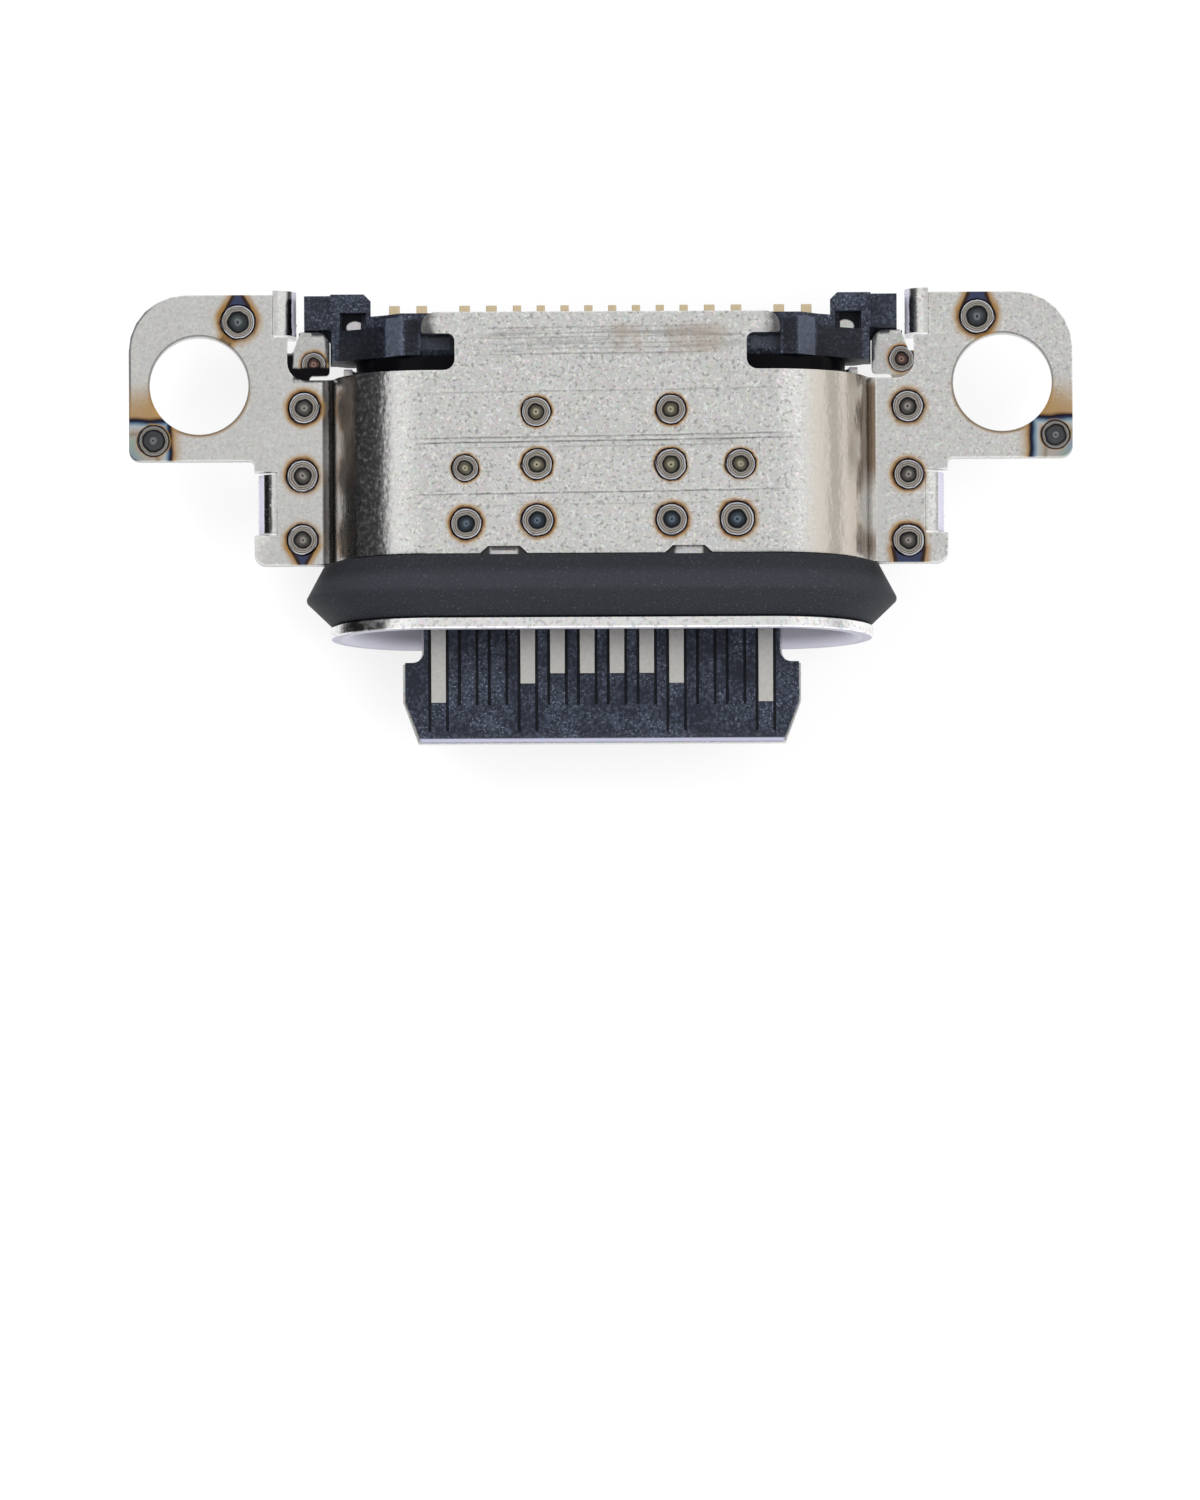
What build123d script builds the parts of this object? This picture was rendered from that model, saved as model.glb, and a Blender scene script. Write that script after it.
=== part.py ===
from build123d import *
import math
import os

# Sealed sixteen-contact charging port, with a tongue that stands out of its mouth.
# All sizes are in millimetres.
# +Y points to the solder tails, -Y out of the mouth, +Z to the side with the weld spots on its ears.
# The origin is midway between the two screw holes, on the seam between the two ear layers.

# Mouth and drawn inner shell
mouth_width = 8.34
mouth_height = 2.56
shell_wall = 0.15
shell_lower_rear = 0.28
shell_upper_rear = 0.06
rim_reach = 0.24
rim_thickness = 0.19
rim_front = -4.30
mouth_radius = 0.20
rim_edge = 0.03

# Folded sheet of the two brackets
sheet = 0.18
fold_clearance = 0.02
upper_bend = 0.16
lower_bend = 0.45
bracket_front = -3.04

# Mounting ears, reached outward from the side of the shell; the screw holes end up 13.5 apart
screw_reach = 2.43
screw_hole_radius = 0.83
ear_rim = 0.35
ear_rear = 1.53
ear_front = -1.27
ear_rear_radius = 0.95
ear_front_radius = 0.20
leg_reach = 1.51
leg_corner_radius = 0.20
inner_corner_radius = 0.08

# Rear opening and rear lug of the upper bracket
upper_wall_rear = 0.08
lug_inner_step = 0.43
lug_step = 0.69
lug_rear = 1.06
lug_overhang = 0.13
lug_radius = 0.12
lug_slot_radius = 0.18
ear_inner_reach = 0.945
ear_slot_radius = 0.30

# Rear opening and necks of the lower bracket
lower_wall_rear = 0.14
neck_gap = 0.22
neck_front = 0.17
neck_rear = 0.92
neck_shoulder = 0.56
neck_radius = 0.24
neck_outer_reach = 0.72
neck_slope = 0.14
neck_tip_radius = 0.05
neck_slot_reach = 0.57
neck_slot_front = 0.03
neck_slot_radius = 0.06
cutout_reach = 1.56
cutout_radius = 0.50

# Broken-off strip stubs, bent down from the upper bracket
rear_stub_bend = 0.22
front_stub_bend = 0.13
stub_drop = 0.80
rear_stub_inset = 0.155
rear_stub_front = 0.85
rear_stub_rear = 1.60
front_stub_inset = 0.07
front_stub_rear = -1.51
front_stub_front = -2.50
stub_relief = 0.04
flute_depth = 0.06
flute_rise = 0.42
flute_count = 3

# Relief slot round the front stub in the lower bracket
relief_gap = 0.16
relief_clearance = 0.05
relief_corner_radius = 0.09

# Notches and window in the front edges
upper_notch_width = 0.80
upper_notch_depth = 0.13
upper_notch_places = (-1.64, 1.47)
lower_notch_width = 0.94
lower_notch_depth = 0.14
lower_notch_places = (1.64, -2.00)
notch_side_angle = 45
window_place = -0.17
window_width = 1.61
window_depth = 0.94
window_radius = 0.10

# Coined lines along the fold of the lower bracket
coin_insets = (0.05, 0.16)
coin_depth = 0.03

# Rubber seal
seal_fit = 0.02
seal_rear_height = 0.34
seal_tip_height = 0.64
seal_tip_behind_rim = 0.46
seal_front_height = 0.20
seal_tip_flat = 0.08
tab_gap = 0.11
tab_length = 0.79
tab_edge = 0.05

# Tongue
tongue_thickness = 0.70
tongue_tip = -6.05
tongue_half_width = 3.31
tongue_side_step = 0.32
tongue_tip_step = 0.26
tongue_step = -4.73
tongue_taper = -5.37
tongue_neck_radius = 0.20
tongue_tip_chamfer = 0.11
tongue_root = -0.95
root_half_width = 3.30
root_thickness = 1.20
root_front = -2.45
cavity_floor = -1.60

# Steel plate in the middle of the tongue
midplate_thickness = 0.15
midplate_show = 0.035
midplate_tip_show = 0.03
midplate_window_place = 1.99
midplate_window_width = 0.80
midplate_window_length = 2.20
midplate_window_front = -4.50
midplate_arm_front = 0.55
midplate_inset = 0.275
leg_inset = 0.14
leg_width = 0.32
leg_rear = 1.42
leg_foot = -0.34
leg_bend = 0.10

# Ground plates on the root of the tongue
ground_thickness = 0.10
ground_half_width = 3.10
ground_front = -2.58
ground_lip = 0.16
ground_tab_place = 2.20
ground_tab_width = 0.60
ground_tab_rear = -1.15
ground_bend = 0.06

# Contacts: places across the tongue, their front ends and the solder tails
contact_thickness = 0.12
contact_width = 0.25
lane_places = (-2.75, -1.25, -0.75, -0.25, 0.25, 0.75, 1.25, 2.75)
lane_fronts = (-5.41, -5.09, -4.92, -4.92, -4.92, -4.92, -5.09, -5.41)
upper_tails = (-3.46, -2.28, -1.40, -0.60, 0.60, 1.40, 2.28, 3.46)
lower_tails = (-3.00, -1.83, -1.00, -0.20, 0.20, 1.00, 1.83, 3.00)
upper_names = ("a1", "a4", "a5", "a6", "a7", "a8", "a9", "a12")
lower_names = ("b12", "b9", "b8", "b7", "b6", "b5", "b4", "b1")
jog_front = -0.75
jog_rear = 0.30
power_tail_width = 0.18
signal_tail_width = 0.14
signal_tail_reach = 1.60
tail_leg = 0.92
tail_end = 1.41
tail_bend = 0.10
tail_height = -0.56

# Lanes of the tongue: a fine groove on each side of every lane
lane_pitch = 0.50
lane_count = 12
groove_width = 0.045
groove_depth = 0.05
groove_front = -5.45
long_groove_front = -5.90
long_lanes = (0, 3, 8, 11)
groove_rear = -2.70

# Rear housing
plug_fit = 0.02
plug_rear = -0.25
potting_gap = 0.42
rear_front = 0.37
rear_wall = 1.08
rear_reach = 0.10
rear_floor = -0.60
rear_floor_chamfer = 0.18
shoulder_drop = 0.19
shoulder_bevel_drop = 0.51
shoulder_side = 0.40
shoulder_inner_reach = 0.47
shoulder_outer_reach = 0.77
ledge_reach = 0.14
ledge_drop = 0.45
ledge_rear = 0.72
lug_gap = 0.03
lug_inset = 0.02
block_inner_inset = 0.46
block_reach = 0.66
block_rear = 1.50
block_top = 0.42
block_floor = -0.40
block_chamfer = 0.12
cheek_reach = 0.22
cheek_top = 0.20
pad_reach = 0.75
pad_front = 0.77
neck_fit = 0.02
hook_slot_wall = 0.08
hook_slot_width = 0.44
hook_slot_front = 0.88
hook_slot_rear = 1.19
pocket_width = 0.26
pocket_length = 0.24
tail_slot_front = 0.72
tail_slot_gap = 0.07
tail_slot_roof = -0.44

# Cured sealant behind the shell
sealant_inset = 0.06

# Sizes worked out from the driving dimensions
shell_round = mouth_height / 2 + shell_wall
shell_half_width = mouth_width / 2 + shell_wall
shell_flat = shell_half_width - shell_round
shell_length = shell_lower_rear - rim_front
rim_round = shell_round + rim_reach
bracket_inner = shell_round
bracket_outer = shell_round + sheet
bracket_flat = shell_flat + fold_clearance
screw_place = shell_half_width + screw_reach
ear_half_width = screw_place + screw_hole_radius + ear_rim
leg_half_width = shell_half_width + leg_reach
ear_inner_edge = shell_half_width + ear_inner_reach
rear_stub_face = ear_inner_edge - rear_stub_inset
front_stub_face = leg_half_width - front_stub_inset
relief_inner = front_stub_face - sheet - relief_gap
lug_half_width = shell_flat - lug_inner_step
lug_end_half_width = shell_flat + lug_overhang
neck_inner = shell_half_width + neck_gap
neck_slot_outer = shell_half_width + neck_slot_reach
neck_outer = shell_half_width + neck_outer_reach
cutout_outer = shell_half_width + cutout_reach
leg_place = shell_half_width - leg_inset
bracket_length = ear_rear - bracket_front
rim_back = rim_front + rim_thickness
tongue_neck_half_width = tongue_half_width - tongue_side_step
tongue_tip_half_width = tongue_half_width - tongue_tip_step
tongue_face = tongue_thickness / 2
midplate_half = midplate_thickness / 2
root_face = root_thickness / 2
contact_centre = tongue_face - contact_thickness / 2
rear_half_width = shell_half_width + rear_reach
shoulder_top = shell_round - shoulder_drop
shoulder_bevel = shell_round - shoulder_bevel_drop
shoulder_inner = shell_flat + shoulder_inner_reach
shoulder_outer = shell_flat + shoulder_outer_reach
ledge_outer = shell_flat + ledge_reach
ledge_top = shell_round - ledge_drop
block_inner = shell_half_width - block_inner_inset
block_outer = shell_half_width + block_reach
cheek_inner = shell_half_width + cheek_reach
pad_half_width = shell_half_width + pad_reach
hook_slot_inner = block_inner + hook_slot_wall
hook_slot_outer = hook_slot_inner + hook_slot_width

os.makedirs("parts", exist_ok=True)


def bend_centre(bend):
    """Distance from the centre of the part to the centre of a bracket's fold."""
    reach = bracket_outer + bend
    rise = sheet + bend
    return bracket_flat + math.sqrt(reach * reach - rise * rise)


def draw_hat_half(bend, side):
    """Half of a bracket's section: flat face, quarter round, fold and ear."""
    fold = bend_centre(bend)
    rise = sheet + bend
    turn = math.degrees(math.asin(rise / (bracket_outer + bend)))
    arc_sweep = 90 - turn
    Line((0, side * bracket_inner), (bracket_flat, side * bracket_inner))
    CenterArc((bracket_flat, 0), bracket_inner, side * turn, side * arc_sweep)
    CenterArc((fold, side * rise), rise, side * (180 + turn), side * arc_sweep)
    Line((fold, 0), (ear_half_width, 0))
    Line((ear_half_width, 0), (ear_half_width, side * sheet))
    Line((ear_half_width, side * sheet), (fold, side * sheet))
    CenterArc((fold, side * rise), bend, side * (180 + turn), side * arc_sweep)
    CenterArc((bracket_flat, 0), bracket_outer, side * turn, side * arc_sweep)
    Line((bracket_flat, side * bracket_outer), (0, side * bracket_outer))
    Line((0, side * bracket_outer), (0, side * bracket_inner))


def write(piece, name):
    """Label one finished piece and write its file."""
    piece.part.label = name
    export_step(piece.part, f"parts/{name}.step")


# Inner shell: a drawn oval tube with a flat rim round its mouth
with BuildPart() as inner_shell:
    with BuildSketch(Plane.XZ.offset(-rim_front)):
        SlotOverall(2 * (shell_flat + rim_round), 2 * rim_round)
    extrude(amount=-rim_thickness)
    with BuildSketch(Plane.XZ.offset(-rim_front)):
        SlotOverall(2 * shell_half_width, 2 * shell_round)
    extrude(amount=-shell_length)
    with BuildSketch(Plane.XZ.offset(-rim_front)):
        SlotOverall(mouth_width, mouth_height)
    extrude(amount=-shell_length, mode=Mode.SUBTRACT)
    with BuildSketch(Plane.YZ):
        with Locations((shell_upper_rear, 0)):
            Rectangle(
                shell_lower_rear,
                2 * shell_round,
                align=(Align.MIN, Align.MIN),
            )
    extrude(amount=ear_half_width, both=True, mode=Mode.SUBTRACT)
    front_face = inner_shell.faces().sort_by(Axis.Y)[0]
    fillet(front_face.inner_wires()[0].edges(), radius=mouth_radius)
    front_face = inner_shell.faces().sort_by(Axis.Y)[0]
    chamfer(front_face.outer_wire().edges(), length=rim_edge)
write(inner_shell, "inner_shell")

# Upper bracket: folded sheet with two ears, a rear lug and four stubs of the strip
rear_stub_line = rear_stub_face + sheet / 2
front_stub_line = front_stub_face - sheet / 2
rear_stub_start = rear_stub_face + sheet + rear_stub_bend
front_stub_start = front_stub_face - sheet - front_stub_bend
rear_stub_length = rear_stub_rear - rear_stub_front
front_stub_length = front_stub_rear - front_stub_front
flute_side = flute_depth * math.sqrt(2)
with BuildPart() as upper_bracket:
    with BuildSketch(Plane.XZ.offset(-ear_rear)):
        with BuildLine():
            draw_hat_half(upper_bend, 1)
        make_face()
        mirror(about=Plane.YZ)
    extrude(amount=bracket_length)
    with BuildSketch(Plane.XY):
        with BuildLine():
            Line((0, bracket_front), (0, lug_rear))
            FilletPolyline(
                (0, lug_rear),
                (lug_end_half_width, lug_rear),
                (lug_end_half_width, lug_step),
                (lug_half_width, lug_step),
                (lug_half_width, upper_wall_rear),
                (ear_inner_edge, upper_wall_rear),
                (ear_inner_edge, rear_stub_front - stub_relief),
                (rear_stub_start, rear_stub_front - stub_relief),
                (rear_stub_start, ear_rear),
                (ear_half_width, ear_rear),
                (ear_half_width, ear_front),
                (leg_half_width, ear_front),
                (leg_half_width, front_stub_rear + stub_relief),
                (front_stub_start, front_stub_rear + stub_relief),
                (front_stub_start, front_stub_front - stub_relief),
                (leg_half_width, front_stub_front - stub_relief),
                (leg_half_width, bracket_front),
                (0, bracket_front),
                radius=[
                    lug_radius,
                    lug_radius,
                    lug_radius,
                    lug_slot_radius,
                    ear_slot_radius,
                    0,
                    0,
                    0,
                    ear_rear_radius,
                    ear_front_radius,
                    inner_corner_radius,
                    0,
                    0,
                    0,
                    0,
                    leg_corner_radius,
                ],
            )
        make_face()
        mirror(about=Plane.YZ)
        with Locations((-screw_place, 0), (screw_place, 0)):
            Circle(screw_hole_radius, mode=Mode.SUBTRACT)
        with Locations(*[(place, bracket_front) for place in upper_notch_places]):
            Trapezoid(
                upper_notch_width + 2 * upper_notch_depth,
                2 * upper_notch_depth,
                notch_side_angle,
                align=(Align.CENTER, Align.CENTER),
                mode=Mode.SUBTRACT,
            )
    extrude(amount=bracket_outer, both=True, mode=Mode.INTERSECT)
    with BuildSketch(Plane.XZ.offset(-rear_stub_rear)):
        with BuildLine():
            FilletPolyline(
                (rear_stub_start + sheet, sheet / 2),
                (rear_stub_line, sheet / 2),
                (rear_stub_line, -stub_drop),
                radius=rear_stub_bend + sheet / 2,
            )
        trace(line_width=sheet)
    extrude(amount=rear_stub_length)
    with BuildSketch(Plane.XZ.offset(-front_stub_rear)):
        with BuildLine():
            FilletPolyline(
                (front_stub_start - sheet, sheet / 2),
                (front_stub_line, sheet / 2),
                (front_stub_line, -stub_drop),
                radius=front_stub_bend + sheet / 2,
            )
        trace(line_width=sheet)
    extrude(amount=front_stub_length)
    with BuildSketch(Plane.XY.offset(-stub_drop)):
        for number in range(flute_count):
            share = (number + 0.5) / flute_count
            rear_flute = rear_stub_front + share * rear_stub_length
            front_flute = front_stub_front + share * front_stub_length
            with Locations((rear_stub_face, rear_flute), (front_stub_face, front_flute)):
                Rectangle(flute_side, flute_side, rotation=45)
    extrude(amount=flute_rise, mode=Mode.SUBTRACT)
    split(bisect_by=Plane.YZ, keep=Keep.TOP)
    mirror(about=Plane.YZ)
write(upper_bracket, "upper_bracket")

# Lower bracket: the same hat from below, with necks, relief slots and the seal's window
lower_fold = bend_centre(lower_bend)
coin_side = coin_depth * math.sqrt(2)
with BuildPart() as lower_bracket:
    with BuildSketch(Plane.XZ.offset(-ear_rear)):
        with BuildLine():
            draw_hat_half(lower_bend, -1)
        make_face()
        mirror(about=Plane.YZ)
        for inset in coin_insets:
            place = lower_fold - inset
            level = -sheet - lower_bend + math.sqrt(lower_bend**2 - inset**2)
            with Locations((place, level), (-place, level)):
                Rectangle(coin_side, coin_side, rotation=45, mode=Mode.SUBTRACT)
    extrude(amount=bracket_length)
    with BuildSketch(Plane.XY):
        with BuildLine():
            Line((0, bracket_front), (0, lower_wall_rear))
            FilletPolyline(
                (0, lower_wall_rear),
                (shell_half_width, lower_wall_rear),
                (shell_half_width + sheet, neck_slot_front),
                (neck_slot_outer, neck_slot_front),
                (neck_slot_outer, neck_front),
                (neck_inner, neck_front),
                (neck_inner, neck_rear),
                (neck_outer, neck_rear),
                (neck_outer + neck_slope, neck_shoulder),
                (cutout_outer, neck_shoulder),
                (cutout_outer, ear_rear),
                (ear_half_width, ear_rear),
                (ear_half_width, ear_front),
                (leg_half_width, ear_front),
                (leg_half_width, front_stub_rear + relief_clearance),
                (relief_inner, front_stub_rear + relief_clearance),
                (relief_inner, front_stub_front - relief_clearance),
                (leg_half_width, front_stub_front - relief_clearance),
                (leg_half_width, bracket_front),
                (0, bracket_front),
                radius=[
                    0,
                    0,
                    neck_slot_radius,
                    neck_slot_radius,
                    inner_corner_radius,
                    neck_radius,
                    neck_tip_radius,
                    neck_tip_radius,
                    cutout_radius,
                    0,
                    ear_rear_radius,
                    ear_front_radius,
                    inner_corner_radius,
                    0,
                    0,
                    0,
                    0,
                    leg_corner_radius,
                ],
            )
        make_face()
        mirror(about=Plane.YZ)
        with Locations((-screw_place, 0), (screw_place, 0)):
            Circle(screw_hole_radius, mode=Mode.SUBTRACT)
        with Locations(
            (relief_inner, front_stub_rear + relief_clearance),
            (relief_inner, front_stub_front - relief_clearance),
            (-relief_inner, front_stub_rear + relief_clearance),
            (-relief_inner, front_stub_front - relief_clearance),
        ):
            Circle(relief_corner_radius, mode=Mode.SUBTRACT)
        with Locations(*[(place, bracket_front) for place in lower_notch_places]):
            Trapezoid(
                lower_notch_width + 2 * lower_notch_depth,
                2 * lower_notch_depth,
                notch_side_angle,
                align=(Align.CENTER, Align.CENTER),
                mode=Mode.SUBTRACT,
            )
        with Locations((window_place, bracket_front)):
            RectangleRounded(
                window_width,
                2 * window_depth,
                window_radius,
                mode=Mode.SUBTRACT,
            )
    extrude(amount=bracket_outer, both=True, mode=Mode.INTERSECT)
write(lower_bracket, "lower_bracket")

# Rubber seal: a V lip round the shell, and a tab in the window of the lower bracket
seal_rear = bracket_front - seal_fit
seal_front = rim_back + seal_fit
seal_inner = shell_round + seal_fit
seal_tip = rim_back + seal_tip_behind_rim
tab_width = window_width - 2 * tab_gap
with BuildPart() as seal_ring:
    with BuildSketch(Plane.YZ.offset(shell_flat)) as lip:
        with BuildLine():
            Polyline(
                (seal_rear, seal_inner),
                (seal_rear, shell_round + seal_rear_height),
                (seal_tip + seal_tip_flat / 2, shell_round + seal_tip_height),
                (seal_tip - seal_tip_flat / 2, shell_round + seal_tip_height),
                (seal_front, shell_round + seal_front_height),
                (seal_front, seal_inner),
                close=True,
            )
        make_face()
    extrude(lip.sketch, amount=-2 * shell_flat)
    revolve(lip.sketch, axis=Axis((shell_flat, 0, 0), (0, 1, 0)), revolution_arc=180)
    mirror(about=Plane.XY)
    mirror(about=Plane.YZ)
    with BuildSketch(Plane.XY.offset(-seal_inner)):
        with Locations((window_place, seal_rear)):
            Rectangle(tab_width, tab_length, align=(Align.CENTER, Align.MIN))
    extrude(amount=-(sheet - seal_fit))
    tab_rim = seal_ring.faces().filter_by(Axis.Z).sort_by(Axis.Y)[-1].edges()
    chamfer(tab_rim.filter_by(Axis.X).sort_by(Axis.Y)[-1], length=tab_edge)
write(seal_ring, "seal_ring")

# Contacts: flush bars on the tongue, bent through the housing to a row of solder tails


def tail_width_at(tail):
    """Width of a solder tail: the tails near the middle are narrower."""
    if abs(tail) < signal_tail_reach:
        return signal_tail_width
    return power_tail_width


def make_contact(lane, front, tail, side):
    """One contact: bar, jog to its tail, leg down and solder foot."""
    level = side * contact_centre
    tail_width = tail_width_at(tail)
    half = contact_width / 2
    tail_half = tail_width / 2
    with BuildPart() as contact:
        with BuildSketch(Plane.XY.offset(level - contact_thickness / 2)):
            with BuildLine():
                Polyline(
                    (lane - half, front),
                    (lane - half, jog_front),
                    (tail - tail_half, jog_rear),
                    (tail - tail_half, tail_leg - tail_bend),
                    (tail + tail_half, tail_leg - tail_bend),
                    (tail + tail_half, jog_rear),
                    (lane + half, jog_front),
                    (lane + half, front),
                    close=True,
                )
            make_face()
        extrude(amount=contact_thickness)
        with BuildSketch(Plane.YZ.offset(tail - tail_half)):
            with BuildLine():
                FilletPolyline(
                    (tail_leg - 2 * tail_bend, level),
                    (tail_leg, level),
                    (tail_leg, tail_height),
                    (tail_end, tail_height),
                    radius=[0, tail_bend],
                )
            trace(line_width=contact_thickness)
        extrude(amount=tail_width)
    return contact


contacts = []
for name, lane, front, tail in zip(upper_names, lane_places, lane_fronts, upper_tails):
    contact = make_contact(lane, front, tail, 1)
    write(contact, f"contact_{name}")
    contacts.append(contact)
for name, lane, front, tail in zip(lower_names, lane_places, lane_fronts, lower_tails):
    contact = make_contact(lane, front, tail, -1)
    write(contact, f"contact_{name}")
    contacts.append(contact)

# Middle plate: its edges show round the tongue, and its legs hook down through the end blocks
arm_half_width = leg_place + leg_width / 2
plate_neck = tongue_neck_half_width + midplate_show
plate_side = tongue_half_width + midplate_show
plate_tip_side = tongue_tip_half_width + midplate_show
plate_tip = tongue_tip - midplate_tip_show
plate_rear = rear_wall - midplate_inset
with BuildPart() as midplate:
    with BuildSketch(Plane.XY.offset(-midplate_half)):
        with BuildLine():
            FilletPolyline(
                (0, plate_tip),
                (plate_tip_side, plate_tip),
                (plate_side, tongue_taper),
                (plate_side, tongue_step),
                (plate_neck, tongue_step),
                (plate_neck, rear_front),
                (arm_half_width, midplate_arm_front),
                (arm_half_width, leg_rear - 2 * leg_bend),
                (arm_half_width - leg_width, leg_rear - 2 * leg_bend),
                (arm_half_width - leg_width, plate_rear),
                (0, plate_rear),
                radius=[0, 0, 0, tongue_neck_radius, 0, 0, 0, 0, 0],
            )
            Line((0, plate_rear), (0, plate_tip))
        make_face()
        mirror(about=Plane.YZ)
        with Locations(
            (midplate_window_place, midplate_window_front),
            (-midplate_window_place, midplate_window_front),
        ):
            Rectangle(
                midplate_window_width,
                midplate_window_length,
                align=(Align.CENTER, Align.MIN),
                mode=Mode.SUBTRACT,
            )
    extrude(amount=midplate_thickness)
    for side in (-1, 1):
        with BuildSketch(Plane.YZ.offset(side * leg_place)):
            with BuildLine():
                FilletPolyline(
                    (leg_rear - 3 * leg_bend, 0),
                    (leg_rear - midplate_half, 0),
                    (leg_rear - midplate_half, leg_foot),
                    radius=leg_bend,
                )
            trace(line_width=midplate_thickness)
        extrude(amount=leg_width / 2, both=True)
write(midplate, "midplate")

# Ground plates: thin steel over the root of the tongue, with a lip in front and two tabs behind
ground_centre = root_face + ground_thickness / 2


def make_ground_plate(side):
    """One ground plate, above the tongue for side 1 and below it for side -1."""
    with BuildPart() as plate:
        with BuildSketch(Plane.YZ.offset(-ground_half_width)):
            with BuildLine():
                FilletPolyline(
                    (cavity_floor, side * ground_centre),
                    (ground_front, side * ground_centre),
                    (ground_front, side * (ground_centre - ground_lip)),
                    radius=ground_bend,
                )
            trace(line_width=ground_thickness)
        extrude(amount=2 * ground_half_width)
        with BuildSketch(Plane.XY.offset(side * root_face)):
            with Locations((-ground_tab_place, cavity_floor), (ground_tab_place, cavity_floor)):
                Rectangle(
                    ground_tab_width,
                    2 * (ground_tab_rear - cavity_floor),
                )
        extrude(amount=side * ground_thickness)
    return plate


upper_ground_plate = make_ground_plate(1)
write(upper_ground_plate, "upper_ground_plate")
lower_ground_plate = make_ground_plate(-1)
write(lower_ground_plate, "lower_ground_plate")

# Tongue moulding: thick root, thin tongue with side notches, lanes and grooves on both faces
groove_shift = contact_width / 2 + groove_width / 2
with BuildPart() as tongue_body:
    with BuildSketch(Plane.XY.offset(-tongue_face)):
        with BuildLine():
            FilletPolyline(
                (0, tongue_tip),
                (tongue_tip_half_width, tongue_tip),
                (tongue_half_width, tongue_taper),
                (tongue_half_width, tongue_step),
                (tongue_neck_half_width, tongue_step),
                (tongue_neck_half_width, tongue_root),
                (0, tongue_root),
                radius=[0, 0, 0, tongue_neck_radius, 0],
            )
            Line((0, tongue_root), (0, tongue_tip))
        make_face()
        mirror(about=Plane.YZ)
    extrude(amount=tongue_thickness)
    tip_face = tongue_body.faces().sort_by(Axis.Y)[0]
    chamfer(tip_face.edges().filter_by(Axis.X), length=tongue_tip_chamfer)
    with BuildSketch(Plane.XY.offset(-root_face)):
        with Locations((0, root_front)):
            Rectangle(
                2 * root_half_width,
                tongue_root - root_front,
                align=(Align.CENTER, Align.MIN),
            )
    extrude(amount=root_thickness)
    with BuildSketch(Plane.XY.offset(tongue_face)):
        for number in range(lane_count):
            lane = (number - (lane_count - 1) / 2) * lane_pitch
            front = long_groove_front if number in long_lanes else groove_front
            with Locations((lane - groove_shift, front), (lane + groove_shift, front)):
                Rectangle(
                    groove_width,
                    groove_rear - front,
                    align=(Align.CENTER, Align.MIN),
                )
    extrude(amount=-groove_depth, mode=Mode.SUBTRACT)
    with BuildSketch(Plane.XY.offset(-tongue_face)):
        for number in range(lane_count):
            lane = (number - (lane_count - 1) / 2) * lane_pitch
            front = long_groove_front if number in long_lanes else groove_front
            with Locations((lane - groove_shift, front), (lane + groove_shift, front)):
                Rectangle(
                    groove_width,
                    groove_rear - front,
                    align=(Align.CENTER, Align.MIN),
                )
    extrude(amount=groove_depth, mode=Mode.SUBTRACT)
    add(midplate.part, mode=Mode.SUBTRACT)
    for contact in contacts:
        add(contact.part, mode=Mode.SUBTRACT)
    add(upper_ground_plate.part, mode=Mode.SUBTRACT)
    add(lower_ground_plate.part, mode=Mode.SUBTRACT)
write(tongue_body, "tongue_body")

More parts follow.
